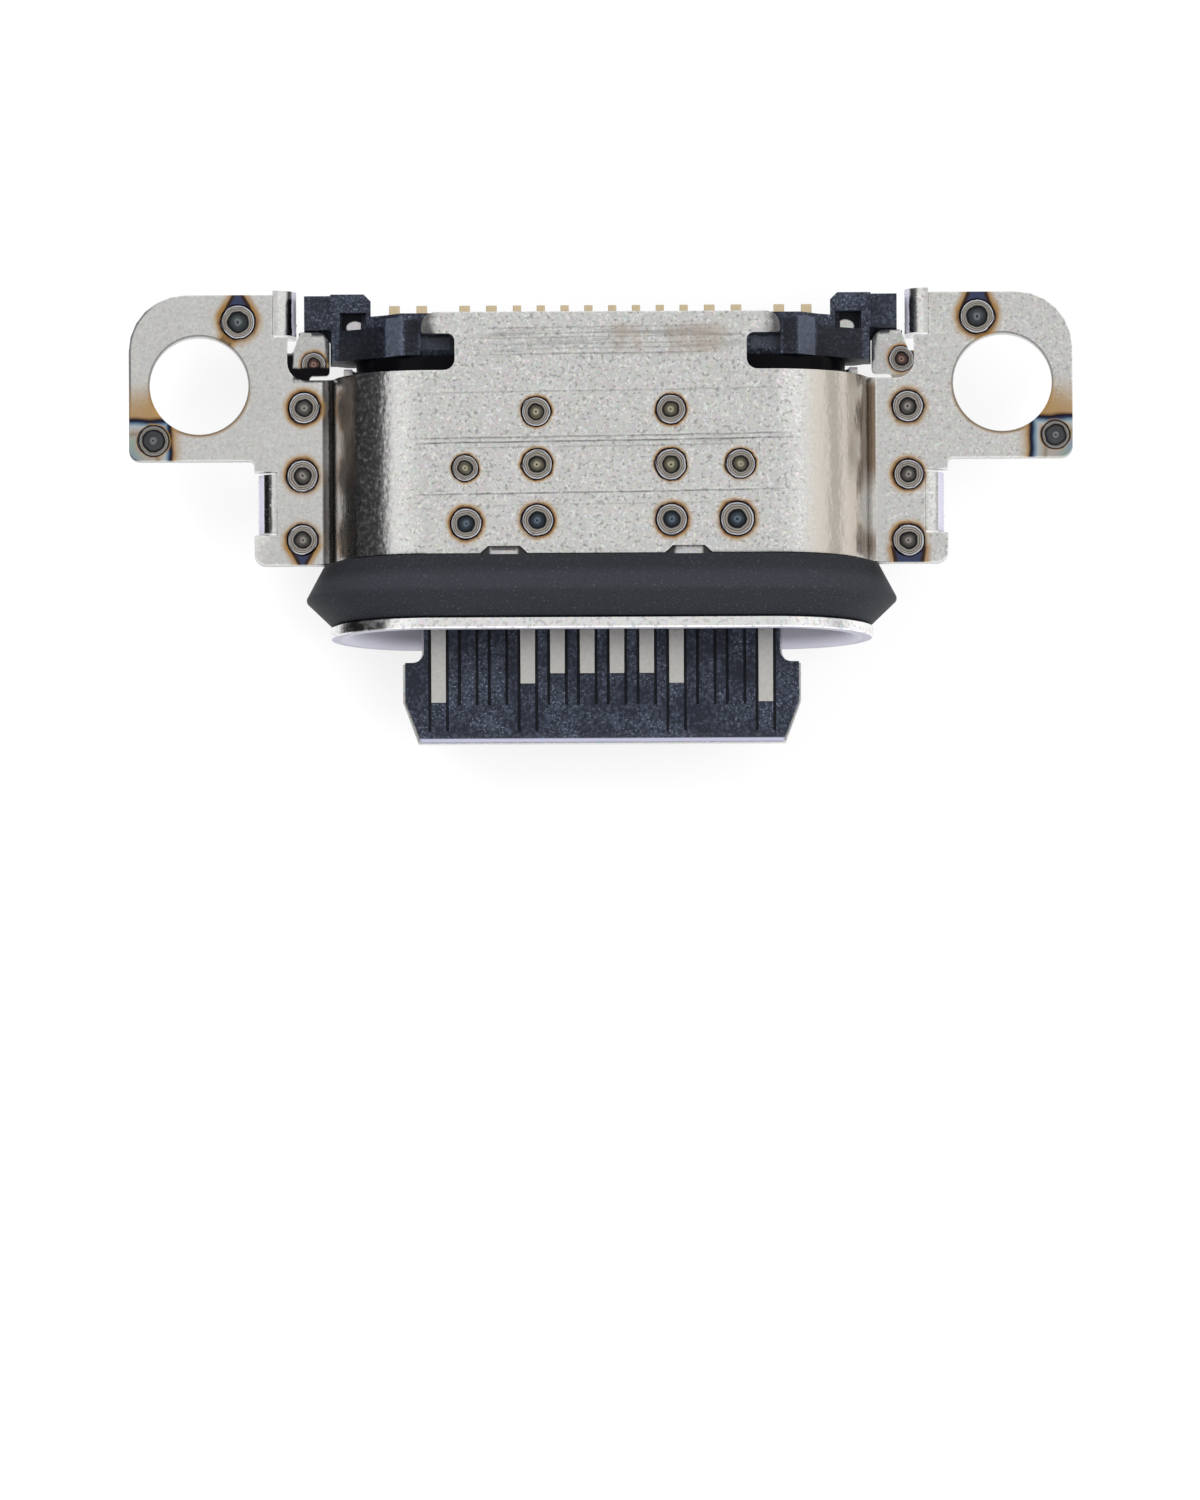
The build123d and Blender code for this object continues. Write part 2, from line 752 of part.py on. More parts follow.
# Rear housing: plug in the shell, faceted shoulders, tail comb and two end blocks
cut_height = bracket_outer
block_run = block_rear - rear_front
neck_floor = -sheet - neck_fit
with BuildPart() as rear_housing:
    with BuildSketch(Plane.XZ.offset(-cavity_floor)):
        SlotOverall(mouth_width - 2 * plug_fit, mouth_height - 2 * plug_fit)
    extrude(amount=cavity_floor - plug_rear)
    with BuildSketch(Plane.XZ.offset(-plug_rear)):
        SlotOverall(mouth_width - 2 * potting_gap, mouth_height - 2 * potting_gap)
    extrude(amount=plug_rear - rear_front)
    with BuildSketch(Plane.XZ.offset(-rear_front)):
        with BuildLine():
            Polyline(
                (0, rear_floor),
                (rear_half_width - rear_floor_chamfer, rear_floor),
                (rear_half_width, rear_floor + rear_floor_chamfer),
                (rear_half_width, shoulder_side),
                (shoulder_outer, shoulder_bevel),
                (shoulder_inner, shoulder_top),
                (0, shoulder_top),
                close=True,
            )
        make_face()
        mirror(about=Plane.YZ)
    extrude(amount=rear_front - rear_wall)
    with BuildSketch(Plane.XY.offset(shoulder_top)):
        with Locations((0, rear_front)):
            Rectangle(
                2 * (lug_half_width - lug_inset),
                lug_rear - rear_front,
                align=(Align.CENTER, Align.MIN),
            )
    extrude(amount=bracket_inner - lug_gap - shoulder_top)
    with BuildSketch(Plane.XY.offset(ledge_top)):
        with Locations((0, rear_front)):
            Rectangle(
                2 * ledge_outer,
                ledge_rear - rear_front,
                align=(Align.CENTER, Align.MIN),
            )
            Rectangle(
                2 * (lug_half_width - lug_inset),
                ledge_rear - rear_front,
                align=(Align.CENTER, Align.MIN),
                mode=Mode.SUBTRACT,
            )
    extrude(amount=cut_height, mode=Mode.SUBTRACT)
    with BuildSketch(Plane.XY.offset(block_floor)):
        for side in (-1, 1):
            with Locations((side * (block_inner + cheek_inner) / 2, rear_front)):
                Rectangle(
                    cheek_inner - block_inner,
                    block_run,
                    align=(Align.CENTER, Align.MIN),
                )
        corners = vertices().group_by(Axis.Y)[-1].filter_by_position(
            Axis.X, -block_inner - block_chamfer, block_inner + block_chamfer
        )
        chamfer(corners, length=block_chamfer)
    extrude(amount=block_top - block_floor)
    with BuildSketch(Plane.XY.offset(block_floor)):
        for side in (-1, 1):
            with Locations((side * (cheek_inner + block_outer) / 2, pad_front)):
                Rectangle(
                    block_outer - cheek_inner,
                    block_rear - pad_front,
                    align=(Align.CENTER, Align.MIN),
                )
    extrude(amount=cheek_top - block_floor)
    with BuildSketch(Plane.XY.offset(block_floor)):
        for side in (-1, 1):
            with Locations((side * (cheek_inner + pad_half_width) / 2, pad_front)):
                Rectangle(
                    pad_half_width - cheek_inner,
                    neck_rear - pad_front,
                    align=(Align.CENTER, Align.MIN),
                )
    extrude(amount=neck_floor - block_floor)
    with BuildSketch(Plane.XY.offset(neck_floor)):
        for side in (-1, 1):
            with Locations((side * (neck_inner - neck_fit), rear_front)):
                Rectangle(
                    2 * (pad_half_width - neck_inner),
                    neck_rear + neck_fit - rear_front,
                    align=(Align.MAX if side < 0 else Align.MIN, Align.MIN),
                )
    extrude(amount=cut_height, mode=Mode.SUBTRACT)
    with BuildSketch(Plane.XY.offset(midplate_half)):
        for side in (-1, 1):
            with Locations((side * (hook_slot_inner + hook_slot_outer) / 2, hook_slot_front)):
                Rectangle(
                    hook_slot_outer - hook_slot_inner,
                    hook_slot_rear - hook_slot_front,
                    align=(Align.CENTER, Align.MIN),
                )
    extrude(amount=cut_height, mode=Mode.SUBTRACT)
    with BuildSketch(Plane.XY.offset(block_floor)):
        for side in (-1, 1):
            with Locations((side * leg_place, leg_rear - midplate_half)):
                Rectangle(pocket_width, pocket_length)
    extrude(amount=leg_foot - block_floor, mode=Mode.SUBTRACT)
    with BuildSketch(Plane.XY.offset(rear_floor)):
        for tail in upper_tails + lower_tails:
            tail_width = tail_width_at(tail)
            with Locations((tail, tail_slot_front)):
                Rectangle(
                    tail_width + 2 * tail_slot_gap,
                    rear_wall - tail_slot_front,
                    align=(Align.CENTER, Align.MIN),
                )
    extrude(amount=tail_slot_roof - rear_floor, mode=Mode.SUBTRACT)
    add(midplate.part, mode=Mode.SUBTRACT)
    for contact in contacts:
        add(contact.part, mode=Mode.SUBTRACT)
    add(tongue_body.part, mode=Mode.SUBTRACT)
    add(upper_ground_plate.part, mode=Mode.SUBTRACT)
    add(lower_ground_plate.part, mode=Mode.SUBTRACT)
write(rear_housing, "rear_housing")

# Sealant: cured in the back of the shell, round the neck of the housing
with BuildPart() as rear_sealant:
    with BuildSketch(Plane.XZ.offset(-plug_rear)):
        SlotOverall(mouth_width, mouth_height)
    extrude(amount=plug_rear - shell_upper_rear)
    with BuildSketch(Plane.XZ.offset(-shell_upper_rear)):
        SlotOverall(mouth_width - 2 * sealant_inset, mouth_height - 2 * sealant_inset)
    extrude(amount=shell_upper_rear - rear_front)
    with BuildSketch(Plane.XZ.offset(-plug_rear)):
        SlotOverall(mouth_width - 2 * potting_gap, mouth_height - 2 * potting_gap)
    extrude(amount=plug_rear - rear_front, mode=Mode.SUBTRACT)
    for contact in contacts:
        add(contact.part, mode=Mode.SUBTRACT)
write(rear_sealant, "rear_sealant")
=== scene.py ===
"""Looks of a sealed sixteen-contact charging port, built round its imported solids."""
import logging
import math
import random
from dataclasses import dataclass
from enum import Enum
from functools import reduce
from typing import Callable, Sequence

import bmesh
import bpy
from mathutils import Matrix, Vector


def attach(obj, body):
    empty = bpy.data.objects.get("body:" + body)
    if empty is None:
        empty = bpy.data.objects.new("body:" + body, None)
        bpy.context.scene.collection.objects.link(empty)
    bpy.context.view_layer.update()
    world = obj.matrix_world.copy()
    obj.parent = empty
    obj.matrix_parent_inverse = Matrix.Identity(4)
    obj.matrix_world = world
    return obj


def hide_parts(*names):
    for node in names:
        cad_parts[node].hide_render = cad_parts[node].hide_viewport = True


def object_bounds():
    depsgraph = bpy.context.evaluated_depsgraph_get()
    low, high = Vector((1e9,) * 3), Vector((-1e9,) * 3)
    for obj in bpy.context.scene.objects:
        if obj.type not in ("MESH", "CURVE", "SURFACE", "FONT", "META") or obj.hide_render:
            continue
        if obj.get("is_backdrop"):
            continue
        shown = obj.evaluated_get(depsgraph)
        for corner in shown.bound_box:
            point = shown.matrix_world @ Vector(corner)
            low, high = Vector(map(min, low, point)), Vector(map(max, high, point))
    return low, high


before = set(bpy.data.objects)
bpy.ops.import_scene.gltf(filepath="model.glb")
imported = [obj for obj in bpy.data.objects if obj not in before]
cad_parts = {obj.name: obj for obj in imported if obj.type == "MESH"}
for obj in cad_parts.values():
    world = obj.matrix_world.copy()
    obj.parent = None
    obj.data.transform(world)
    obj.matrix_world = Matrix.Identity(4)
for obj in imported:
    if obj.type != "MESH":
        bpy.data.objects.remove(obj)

MM = 0.001
LOG = logging.getLogger("charging_port")
Point = tuple[float, float]
Place = tuple[float, float, float]
Colour = tuple[float, float, float]
Stops = Sequence[tuple[float, Colour]]

SHEET = 0.18
FACE_LEVEL = 1.61
SCREW_PLACE, SCREW_RADIUS = 6.75, 0.83
SHELL_FLAT, SHELL_OUTER = 2.89, 1.43
TOUCH = 1e-4
STRAW, BROWN, SOOT = (0.56, 0.33, 0.10), (0.20, 0.10, 0.05), (0.016, 0.013, 0.020)
TAN = (0.46, 0.25, 0.07)
CORNER_TINTS = (
    (0.000, (0.10, 0.05, 0.03)), (0.03, SOOT), (0.085, (0.03, 0.04, 0.09)),
    (0.15, (0.20, 0.31, 0.42)), (0.22, (0.52, 0.56, 0.58)), (0.34, (0.50, 0.46, 0.40)),
    (0.42, (0.34, 0.28, 0.22)), (0.52, (0.50, 0.46, 0.42)), (1.0, (0.44, 0.42, 0.41)),
)
RAINBOW = ((0.35, (0.52, 0.30, 0.34)), (0.5, (0.24, 0.44, 0.34)), (0.62, (0.22, 0.34, 0.50)))


class Slot(Enum):
    """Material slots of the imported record."""

    BRACKET = "bracket_steel"
    SHELL = "shell_steel"
    RUBBER = "seal_rubber"
    HOUSING = "housing_plastic"
    TONGUE = "tongue_plastic"
    PLATE = "plate_steel"
    SEALANT = "sealant"
    PLATING = "contact_plating"


class Side(Enum):
    """Which way a folded bracket bulges from the seam between the ears."""

    UPPER = 1
    LOWER = -1


@dataclass
class Value:
    """A shader socket that takes part in Python expressions."""

    shader: "Shader"
    socket: bpy.types.NodeSocket

    def math(self, operation: str, *others: "Value | float") -> "Value":
        """Result of a Math node on this value and the others."""
        return self.shader.math(operation, self, *others)

    def __add__(self, other: "Value | float") -> "Value":
        """Sum."""
        return self.math("ADD", other)

    __radd__ = __add__

    def __mul__(self, other: "Value | float") -> "Value":
        """Product."""
        return self.math("MULTIPLY", other)

    __rmul__ = __mul__

    def __sub__(self, other: "Value | float") -> "Value":
        """Difference."""
        return self.math("SUBTRACT", other)

    def __rsub__(self, other: float) -> "Value":
        """Difference from a plain number."""
        return self.shader.math("SUBTRACT", other, self)

    def __truediv__(self, other: "Value | float") -> "Value":
        """Quotient."""
        return self.math("DIVIDE", other)

    def least(self, other: "Value | float") -> "Value":
        """The smaller of two values."""
        return self.math("MINIMUM", other)

    def most(self, other: "Value | float") -> "Value":
        """The larger of two values."""
        return self.math("MAXIMUM", other)

    def size(self) -> "Value":
        """The value without its sign."""
        return self.math("ABSOLUTE")

    def reach(self, other: "Value") -> "Value":
        """Length of the slope over two distances at right angles."""
        return (self * self + other * other).math("SQRT")

    def step(self, low: float, high: float) -> "Value":
        """Smooth change from 0 at low to 1 at high, which may be the lesser of the two.

        Args:
            low: value where the result is 0.
            high: value where the result is 1.

        Returns:
            The smoothed share.
        """
        ends = {1: min(low, high), 2: max(low, high)}
        settings = {"interpolation_type": "SMOOTHSTEP"}
        rise = self.shader.node("MapRange", settings, {0: self, **ends})
        return rise if low < high else 1 - rise

    def band(self, start: float, full: float, fade: float, end: float) -> "Value":
        """Share that rises from 0 at start to 1 at full, and falls from fade to 0 at end."""
        return self.step(start, full) * self.step(end, fade)

    def ramp(self, stops: Stops) -> "Value":
        """Colour ramp over this value, with the place and colour of each stop."""
        return self.shader.node("ValToRGB", {"stops": stops}, {0: self})


class Shader:
    """Node tree of one finish, and the colour painted on it so far."""

    def __init__(self, owner: bpy.types.Material | bpy.types.World) -> None:
        """Start with nothing but the place of the shaded point, in millimetres.

        Args:
            owner: the material or world that gets the nodes.
        """
        owner.use_nodes = True
        self.owner = owner
        self.nodes, self.links = owner.node_tree.nodes, owner.node_tree.links
        self.nodes.clear()
        place = self.node("TexCoord", {}, {}, "Object")
        self.place = self.node("VectorMath", {"operation": "SCALE"}, {0: place, 3: 1 / MM})
        self.across, self.along, self.up = (
            self.node("SeparateXYZ", {}, {0: self.place}, number) for number in range(3))
        self.side = self.across.size()
        self.colour: Value | None = None

    @classmethod
    def named(cls, name: str) -> "Shader":
        """Start a new material."""
        return cls(bpy.data.materials.new(name))

    def node(self, kind: str, settings: dict, inputs: dict, output: str | int = 0) -> Value:
        """Add a node.

        Args:
            kind: type name of the node after "ShaderNode".
            settings: attributes set before anything is linked; "stops" fills a colour ramp.
            inputs: value or link of each socket, by name or number.
            output: name or number of the socket that is returned.

        Returns:
            The chosen output socket.
        """
        made = self.nodes.new(f"ShaderNode{kind}")
        for name, setting in settings.items():
            if name == "stops":
                self.fill_ramp(made.color_ramp, setting)
            else:
                setattr(made, name, setting)
        for name, given in inputs.items():
            if isinstance(given, Value):
                self.links.new(given.socket, made.inputs[name])
            else:
                made.inputs[name].default_value = given
        return Value(self, made.outputs[output])

    @staticmethod
    def fill_ramp(ramp: bpy.types.ColorRamp, stops: Stops) -> None:
        """Give a colour ramp its stops.

        Args:
            ramp: the ramp to fill.
            stops: place and colour of each stop, in rising order.
        """
        while len(ramp.elements) < len(stops):
            ramp.elements.new(1.0)
        for element, (place, colour) in zip(ramp.elements, stops):
            element.position, element.color = place, (*colour, 1.0)

    def math(self, operation: str, *operands: Value | float) -> Value:
        """Result of a Math node."""
        return self.node("Math", {"operation": operation}, dict(enumerate(operands)))

    def vector(self, operation: str, *operands: Value | Place, output: str | int = 0) -> Value:
        """Result of a Vector Math node."""
        return self.node("VectorMath", {"operation": operation}, dict(enumerate(operands)), output)

    def distance(self, place: Place, seen_from: Value | None = None) -> Value:
        """Distance in millimetres of a place from the shaded point, or from another one."""
        return self.vector("DISTANCE", seen_from or self.place, place, output="Value")

    def noise(self, scale: float, detail: float = 2.0, stretch: Place | None = None,
              output: str = "Fac") -> Value:
        """Noise pattern.

        Args:
            scale: grains per millimetre.
            detail: octaves of finer noise.
            stretch: factor of each axis of the shaded point.
            output: name of the wanted output.

        Returns:
            The noise value or colour.
        """
        place = self.vector("MULTIPLY", self.place, stretch) if stretch else self.place
        inputs = {"Vector": place, "Scale": scale, "Detail": detail}
        return self.node("TexNoise", {}, inputs, output)

    def cells(self, scale: float) -> Value:
        """Random colour of each grain, with the grains per millimetre in scale."""
        return self.node("TexVoronoi", {}, {"Vector": self.place, "Scale": scale}, "Color")

    def mix(self, share: Value | float, first: Value | Colour, second: Value | Colour,
            blend: str = "MIX") -> Value:
        """Mix two colours.

        Args:
            share: how much of the second colour shows.
            first: the first colour.
            second: the second colour.
            blend: blend type of the Mix node.

        Returns:
            The mixed colour.
        """
        settings = {"data_type": "RGBA", "blend_type": blend}
        ends = [end if isinstance(end, Value) else (*end, 1.0) for end in (first, second)]
        return self.node("Mix", settings, {0: share, 6: ends[0], 7: ends[1]}, 2)

    def prime(self, colour: Value | Colour, tone: Value) -> None:
        """Lay the first colour, shaded by a grey tone."""
        grey = self.node("CombineXYZ", {}, {0: tone, 1: tone, 2: tone})
        self.colour = self.mix(1.0, colour, grey, "MULTIPLY")

    def paint(self, share: Value | float, colour: Value | Colour, blend: str = "MIX") -> None:
        """Lay another colour over the last one."""
        self.colour = self.mix(share, self.colour, colour, blend)

    def bump(self, height: Value, distance: float) -> Value:
        """Bump normal of a height pattern, with its full height in millimetres."""
        return self.node("Bump", {}, {"Height": height, "Distance": distance * MM})

    def surface(self, inputs: dict) -> bpy.types.Material:
        """Finish the material with a principled shader over what is painted."""
        return self.close(self.node("BsdfPrincipled", {}, {"Base Color": self.colour, **inputs}))

    def glow(self, colour: Colour) -> Value:
        """Emission of a colour."""
        return self.node("Emission", {}, {"Color": (*colour, 1), "Strength": 1.0})

    def close(self, shading: Value, kind: str = "Material") -> bpy.types.Material:
        """Show the shading, and return the material or world.

        Args:
            shading: what the output node shows.
            kind: kind of the output node.

        Returns:
            The finished material or world.
        """
        output = self.nodes.new(f"ShaderNodeOutput{kind}")
        self.links.new(shading.socket, output.inputs["Surface"])
        return self.owner


class Form:
    """A mesh in the making, in millimetres."""

    def __init__(self) -> None:
        """Start with no geometry."""
        self.mesh = bmesh.new()

    @classmethod
    def from_node(cls, node: str, merge: float = 0.0008) -> "Form":
        """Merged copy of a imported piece.

        Args:
            node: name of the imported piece.
            merge: distance within which points are one.

        Returns:
            The copy, with its loose triangles joined into flat faces.
        """
        form = cls()
        form.mesh.from_mesh(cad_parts[node].data)
        bmesh.ops.scale(form.mesh, vec=Vector((1, 1, 1)) / MM, verts=form.mesh.verts)
        bmesh.ops.remove_doubles(form.mesh, verts=form.mesh.verts, dist=merge)
        form.join_flat_faces()
        return form

    @classmethod
    def rectangle(cls, low: Point, high: Point, level: float = 0.0) -> "Form":
        """Flat rectangle.

        Args:
            low: its corner with the lowest coordinates.
            high: its corner with the highest coordinates.
            level: its height.

        Returns:
            The filled rectangle.
        """
        form = cls()
        form.outline(((*low, 0), (high[0], low[1], 0), (*high, 0), (low[0], high[1], 0)))
        form.fill()
        form.shift((0, 0, level))
        return form

    def everything(self) -> list:
        """All points, edges and faces."""
        return [*self.mesh.verts, *self.mesh.edges, *self.mesh.faces]

    def shift(self, way: Place, made: dict | None = None) -> None:
        """Move the form, or only the points that an extrusion made.

        Args:
            way: how far along each axis.
            made: result of the extrusion.
        """
        moved = list(self.mesh.verts)
        if made:
            moved = [item for item in made["geom"] if isinstance(item, bmesh.types.BMVert)]
        bmesh.ops.translate(self.mesh, vec=way, verts=moved)

    def join_flat_faces(self, angle: float = 0.6) -> None:
        """Join faces that lie in one plane, apart from those of another material."""
        bmesh.ops.dissolve_limit(self.mesh, angle_limit=math.radians(angle), verts=self.mesh.verts,
                                 edges=self.mesh.edges, delimit={"MATERIAL"})

    def outline(self, corners: Sequence[Place], steps: int = 6) -> None:
        """Closed outline with rounded corners.

        Args:
            corners: X, Y and radius of each corner.
            steps: segments in each rounded corner.
        """
        verts = [self.mesh.verts.new((x, y, 0)) for x, y, _ in corners]
        self.mesh.faces.new(verts)
        groups: dict[float, list[bmesh.types.BMVert]] = {}
        for number, (vert, (_, _, radius)) in enumerate(zip(verts, corners)):
            if radius:
                before = verts[number - 1].co - vert.co
                after = verts[(number + 1) % len(verts)].co - vert.co
                reach = radius / math.tan(before.angle(after) / 2)
                groups.setdefault(round(reach, 5), []).append(vert)
        for reach, group in groups.items():
            bmesh.ops.bevel(self.mesh, geom=group, offset=reach, offset_type="OFFSET",
                            segments=steps, profile=0.5, affect="VERTICES", material=-1,
                            clamp_overlap=False)
        bmesh.ops.delete(self.mesh, geom=list(self.mesh.faces)[-1:], context="FACES_ONLY")

    def circle(self, centre: Point, radius: float, steps: int, patch: bool = False) -> None:
        """Round hole in the outline, or a round patch that stays a face of its own.

        Args:
            centre: middle of the circle.
            radius: radius of the circle.
            steps: segments round it.
            patch: whether it is a patch.
        """
        made = bmesh.ops.create_circle(self.mesh, cap_ends=patch, segments=steps, radius=radius,
                                       matrix=Matrix.Translation((*centre, 0)))
        if patch:
            made["verts"][0].link_faces[0].material_index = 1

    def fill(self) -> None:
        """Fill the outlines round their holes and patches."""
        open_edges = [edge for edge in self.mesh.edges if len(edge.link_faces) < 2]
        bmesh.ops.triangle_fill(self.mesh, use_beauty=True, use_dissolve=False, edges=open_edges)
        self.join_flat_faces()

    def thicken(self, low: float, high: float) -> None:
        """Turn flat faces into a plate.

        Args:
            low: height of the lower side.
            high: height of the upper side.
        """
        self.shift((0, 0, low))
        made = bmesh.ops.extrude_face_region(self.mesh, geom=self.mesh.faces[:])
        self.shift((0, 0, high - low), made)
        self.face_outwards()

    def face_outwards(self) -> None:
        """Point every face out of the closed form."""
        bmesh.ops.recalc_face_normals(self.mesh, faces=self.mesh.faces)

    def round_edges(self, radius: float, segments: int = 2, angle: float = 50.0,
                    clamp: bool = False) -> None:
        """Round the edges that are sharper than an angle.

        Args:
            radius: radius of the round.
            segments: steps in the round.
            angle: least angle between the two faces of a rounded edge, in degrees.
            clamp: whether the radius is limited by the shortest edges.
        """
        limit = math.radians(angle)
        edges = [edge for edge in self.mesh.edges
                 if len(edge.link_faces) == 2 and edge.calc_face_angle(0) > limit]
        bmesh.ops.bevel(self.mesh, geom=edges, offset=radius, offset_type="OFFSET",
                        segments=segments, profile=0.5, affect="EDGES", material=-1,
                        clamp_overlap=clamp)

    def slice(self, axis: Place, places: Sequence[float]) -> None:
        """Cut the faces along parallel planes.

        Args:
            axis: direction across the planes.
            places: distance of each plane from the origin.
        """
        for place in places:
            bmesh.ops.bisect_plane(self.mesh, geom=self.everything(), dist=1e-5,
                                   plane_co=Vector(axis) * place, plane_no=axis)

    def dent(self, rings: Sequence[Point], height: float) -> None:
        """Press concentric rings into each round patch that lies at a height.

        Args:
            rings: width and drop of each ring, from the rim inward.
            height: height of the patches that are pressed.
        """
        for face in [face for face in self.mesh.faces if face.material_index == 1]:
            face.material_index = 0
            if abs(face.calc_center_median().z - height) > TOUCH or face.normal.z < 0.5:
                continue
            for width, drop in rings:
                bmesh.ops.inset_individual(self.mesh, faces=[face], thickness=width, depth=-drop,
                                           use_even_offset=True)

    def reshape(self, place: Callable[[Vector], Vector]) -> None:
        """Move each point by a rule that gives its new place."""
        for vert in self.mesh.verts:
            vert.co = place(vert.co)

    def take_in(self, other: "Form") -> None:
        """Add the faces of another form and close that form.

        Args:
            other: the form that is used up.
        """
        passed_on = bpy.data.meshes.new("passed_on")
        other.mesh.to_mesh(passed_on)
        other.mesh.free()
        self.mesh.from_mesh(passed_on)
        bpy.data.meshes.remove(passed_on)

    def sweep_oval(self, corners: Sequence[Place], flat: float, steps: int) -> None:
        """Sweep a closed section round an oval with two straight runs.

        Args:
            corners: Y, height over the middle and corner radius of each point of the section.
            flat: half length of the straight runs.
            steps: segments in each round end.
        """
        self.outline(corners, 5)
        section = [*self.mesh.verts, *self.mesh.edges]
        self.reshape(lambda co: Vector((flat, co.x, co.y)))
        turned = bmesh.ops.spin(self.mesh, geom=section, cent=(flat, 0, 0), axis=(0, 1, 0),
                                angle=math.pi, steps=steps, use_duplicate=False)
        last = [item for item in turned["geom_last"] if isinstance(item, bmesh.types.BMEdge)]
        first = [edge for edge in self.mesh.edges
                 if len(edge.link_faces) == 1 and edge not in last]
        for ends in (first, last):
            self.shift((-flat, 0, 0), bmesh.ops.extrude_edge_only(self.mesh, edges=ends))
        bmesh.ops.mirror(self.mesh, geom=self.everything(), axis="X", merge_dist=0.0005)
        self.face_outwards()

    def place(self, name: str, material: bpy.types.Material) -> bpy.types.Object:
        """Turn the form into an object in metres.

        Args:
            name: name of the object.
            material: its finish.

        Returns:
            The object in the scene.
        """
        bmesh.ops.scale(self.mesh, vec=(MM, MM, MM), verts=self.mesh.verts)
        mesh = bpy.data.meshes.new(name)
        self.mesh.to_mesh(mesh)
        self.mesh.free()
        mesh.materials.append(material)
        mesh.polygons.foreach_set("material_index", [0] * len(mesh.polygons))
        thing = bpy.data.objects.new(name, mesh)
        bpy.context.scene.collection.objects.link(thing)
        return thing

    def become(self, name: str, slot: Slot, material: bpy.types.Material, node: str,
               smooth: float = 35.0) -> None:
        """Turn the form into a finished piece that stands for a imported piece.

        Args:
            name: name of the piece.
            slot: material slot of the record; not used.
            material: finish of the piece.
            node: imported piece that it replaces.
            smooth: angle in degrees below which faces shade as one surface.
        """
        piece = self.place(name, material)
        faces = piece.data.polygons
        faces.foreach_set("use_smooth", [True] * len(faces))
        piece.data.set_sharp_from_angle(angle=math.radians(smooth))
        piece.modifiers.new("even_shading", "WEIGHTED_NORMAL").keep_sharp = True
        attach(piece, "root")
        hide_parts(node)
        LOG.info("%s: %d faces for %s", name, len(faces), node)


@dataclass
class Hat:
    """Section of a folded bracket: flat face, quarter round, fold and ear."""

    bend: float
    flat: float = 2.91
    inner: float = 1.43
    wall_steps: int = 22
    fold_steps: int = 10
    neck_gap: float = 0.012
    halvings: int = 40

    def __post_init__(self) -> None:
        """Work out the fold from the bend."""
        self.rise = SHEET + self.bend
        self.middle = self.inner + SHEET / 2
        self.fold_middle = self.bend + SHEET / 2
        reach = self.inner + self.rise
        self.turn = math.asin(self.rise / reach)
        self.fold = self.flat + math.sqrt(reach ** 2 - self.rise ** 2)
        sweep = math.pi / 2 - self.turn
        self.wall_end = self.flat + self.middle * sweep
        self.fold_end = self.wall_end + self.fold_middle * sweep

    def bent(self, run: float, y: float, height: float) -> Vector:
        """Place of a point of the flat blank after folding, on a bracket that bulges upwards.

        Args:
            run: distance from the middle along the section.
            y: place along the part.
            height: height over the middle of the sheet, outwards.

        Returns:
            The folded place.
        """
        way, along = math.copysign(1, run), abs(run)
        if along <= self.flat:
            lean, x, z = math.pi / 2, along, self.middle
        elif along <= self.wall_end:
            lean = math.pi / 2 - (along - self.flat) / self.middle
            x, z = self.flat + self.middle * math.cos(lean), self.middle * math.sin(lean)
        elif along <= self.fold_end:
            lean = self.turn + (along - self.wall_end) / self.fold_middle
            x = self.fold - self.fold_middle * math.cos(lean)
            z = self.rise - self.fold_middle * math.sin(lean)
        else:
            lean, x, z = math.pi / 2, self.fold + along - self.fold_end, SHEET / 2
        return Vector((way * (x + height * math.cos(lean)), y, z + height * math.sin(lean)))

    def level_neck(self, run: float, y: float, height: float, inner: float) -> Vector:
        """Place of a point of a neck, which stays level beside the cut-off wall.

        Args:
            run: distance from the middle along the section.
            y: place along the part.
            height: height over the middle of the sheet, outwards.
            inner: place of the neck's inner edge across the part.

        Returns:
            The level place.
        """
        way, along = math.copysign(1, run), abs(run)
        start = self.run_at(inner)
        share = (along - start) / (self.fold_end - start)
        x = inner + self.neck_gap + share * (self.fold - inner - self.neck_gap)
        return Vector((way * x, y, SHEET / 2 + height))

    def run_at(self, x: float) -> float:
        """Distance along the section at which the folded sheet reaches X.

        Args:
            x: the place across the part.

        Returns:
            The run in the flat blank.
        """
        low, high = 0.0, self.fold_end + abs(x)
        for _ in range(self.halvings):
            half = (low + high) / 2
            if self.bent(half, 0, 0).x < abs(x):
                low = half
            else:
                high = half
        return math.copysign((low + high) / 2, x)

    def cuts(self) -> list[float]:
        """Runs at which the blank is divided, so that it can follow the section.

        Returns:
            The runs, left and right.
        """
        wall = [self.flat + (self.wall_end - self.flat) * number / self.wall_steps
                for number in range(self.wall_steps + 1)]
        fold = [self.wall_end + (self.fold_end - self.wall_end) * number / self.fold_steps
                for number in range(1, self.fold_steps + 1)]
        return [way * run for run in wall + fold for way in (-1, 1)]


@dataclass(frozen=True)
class Mark:
    """Weld spot: its place, its radius and how far its heat is drawn out towards an edge."""

    x: float
    y: float
    radius: float
    drawn: int = 0
    taper: float = 0.52


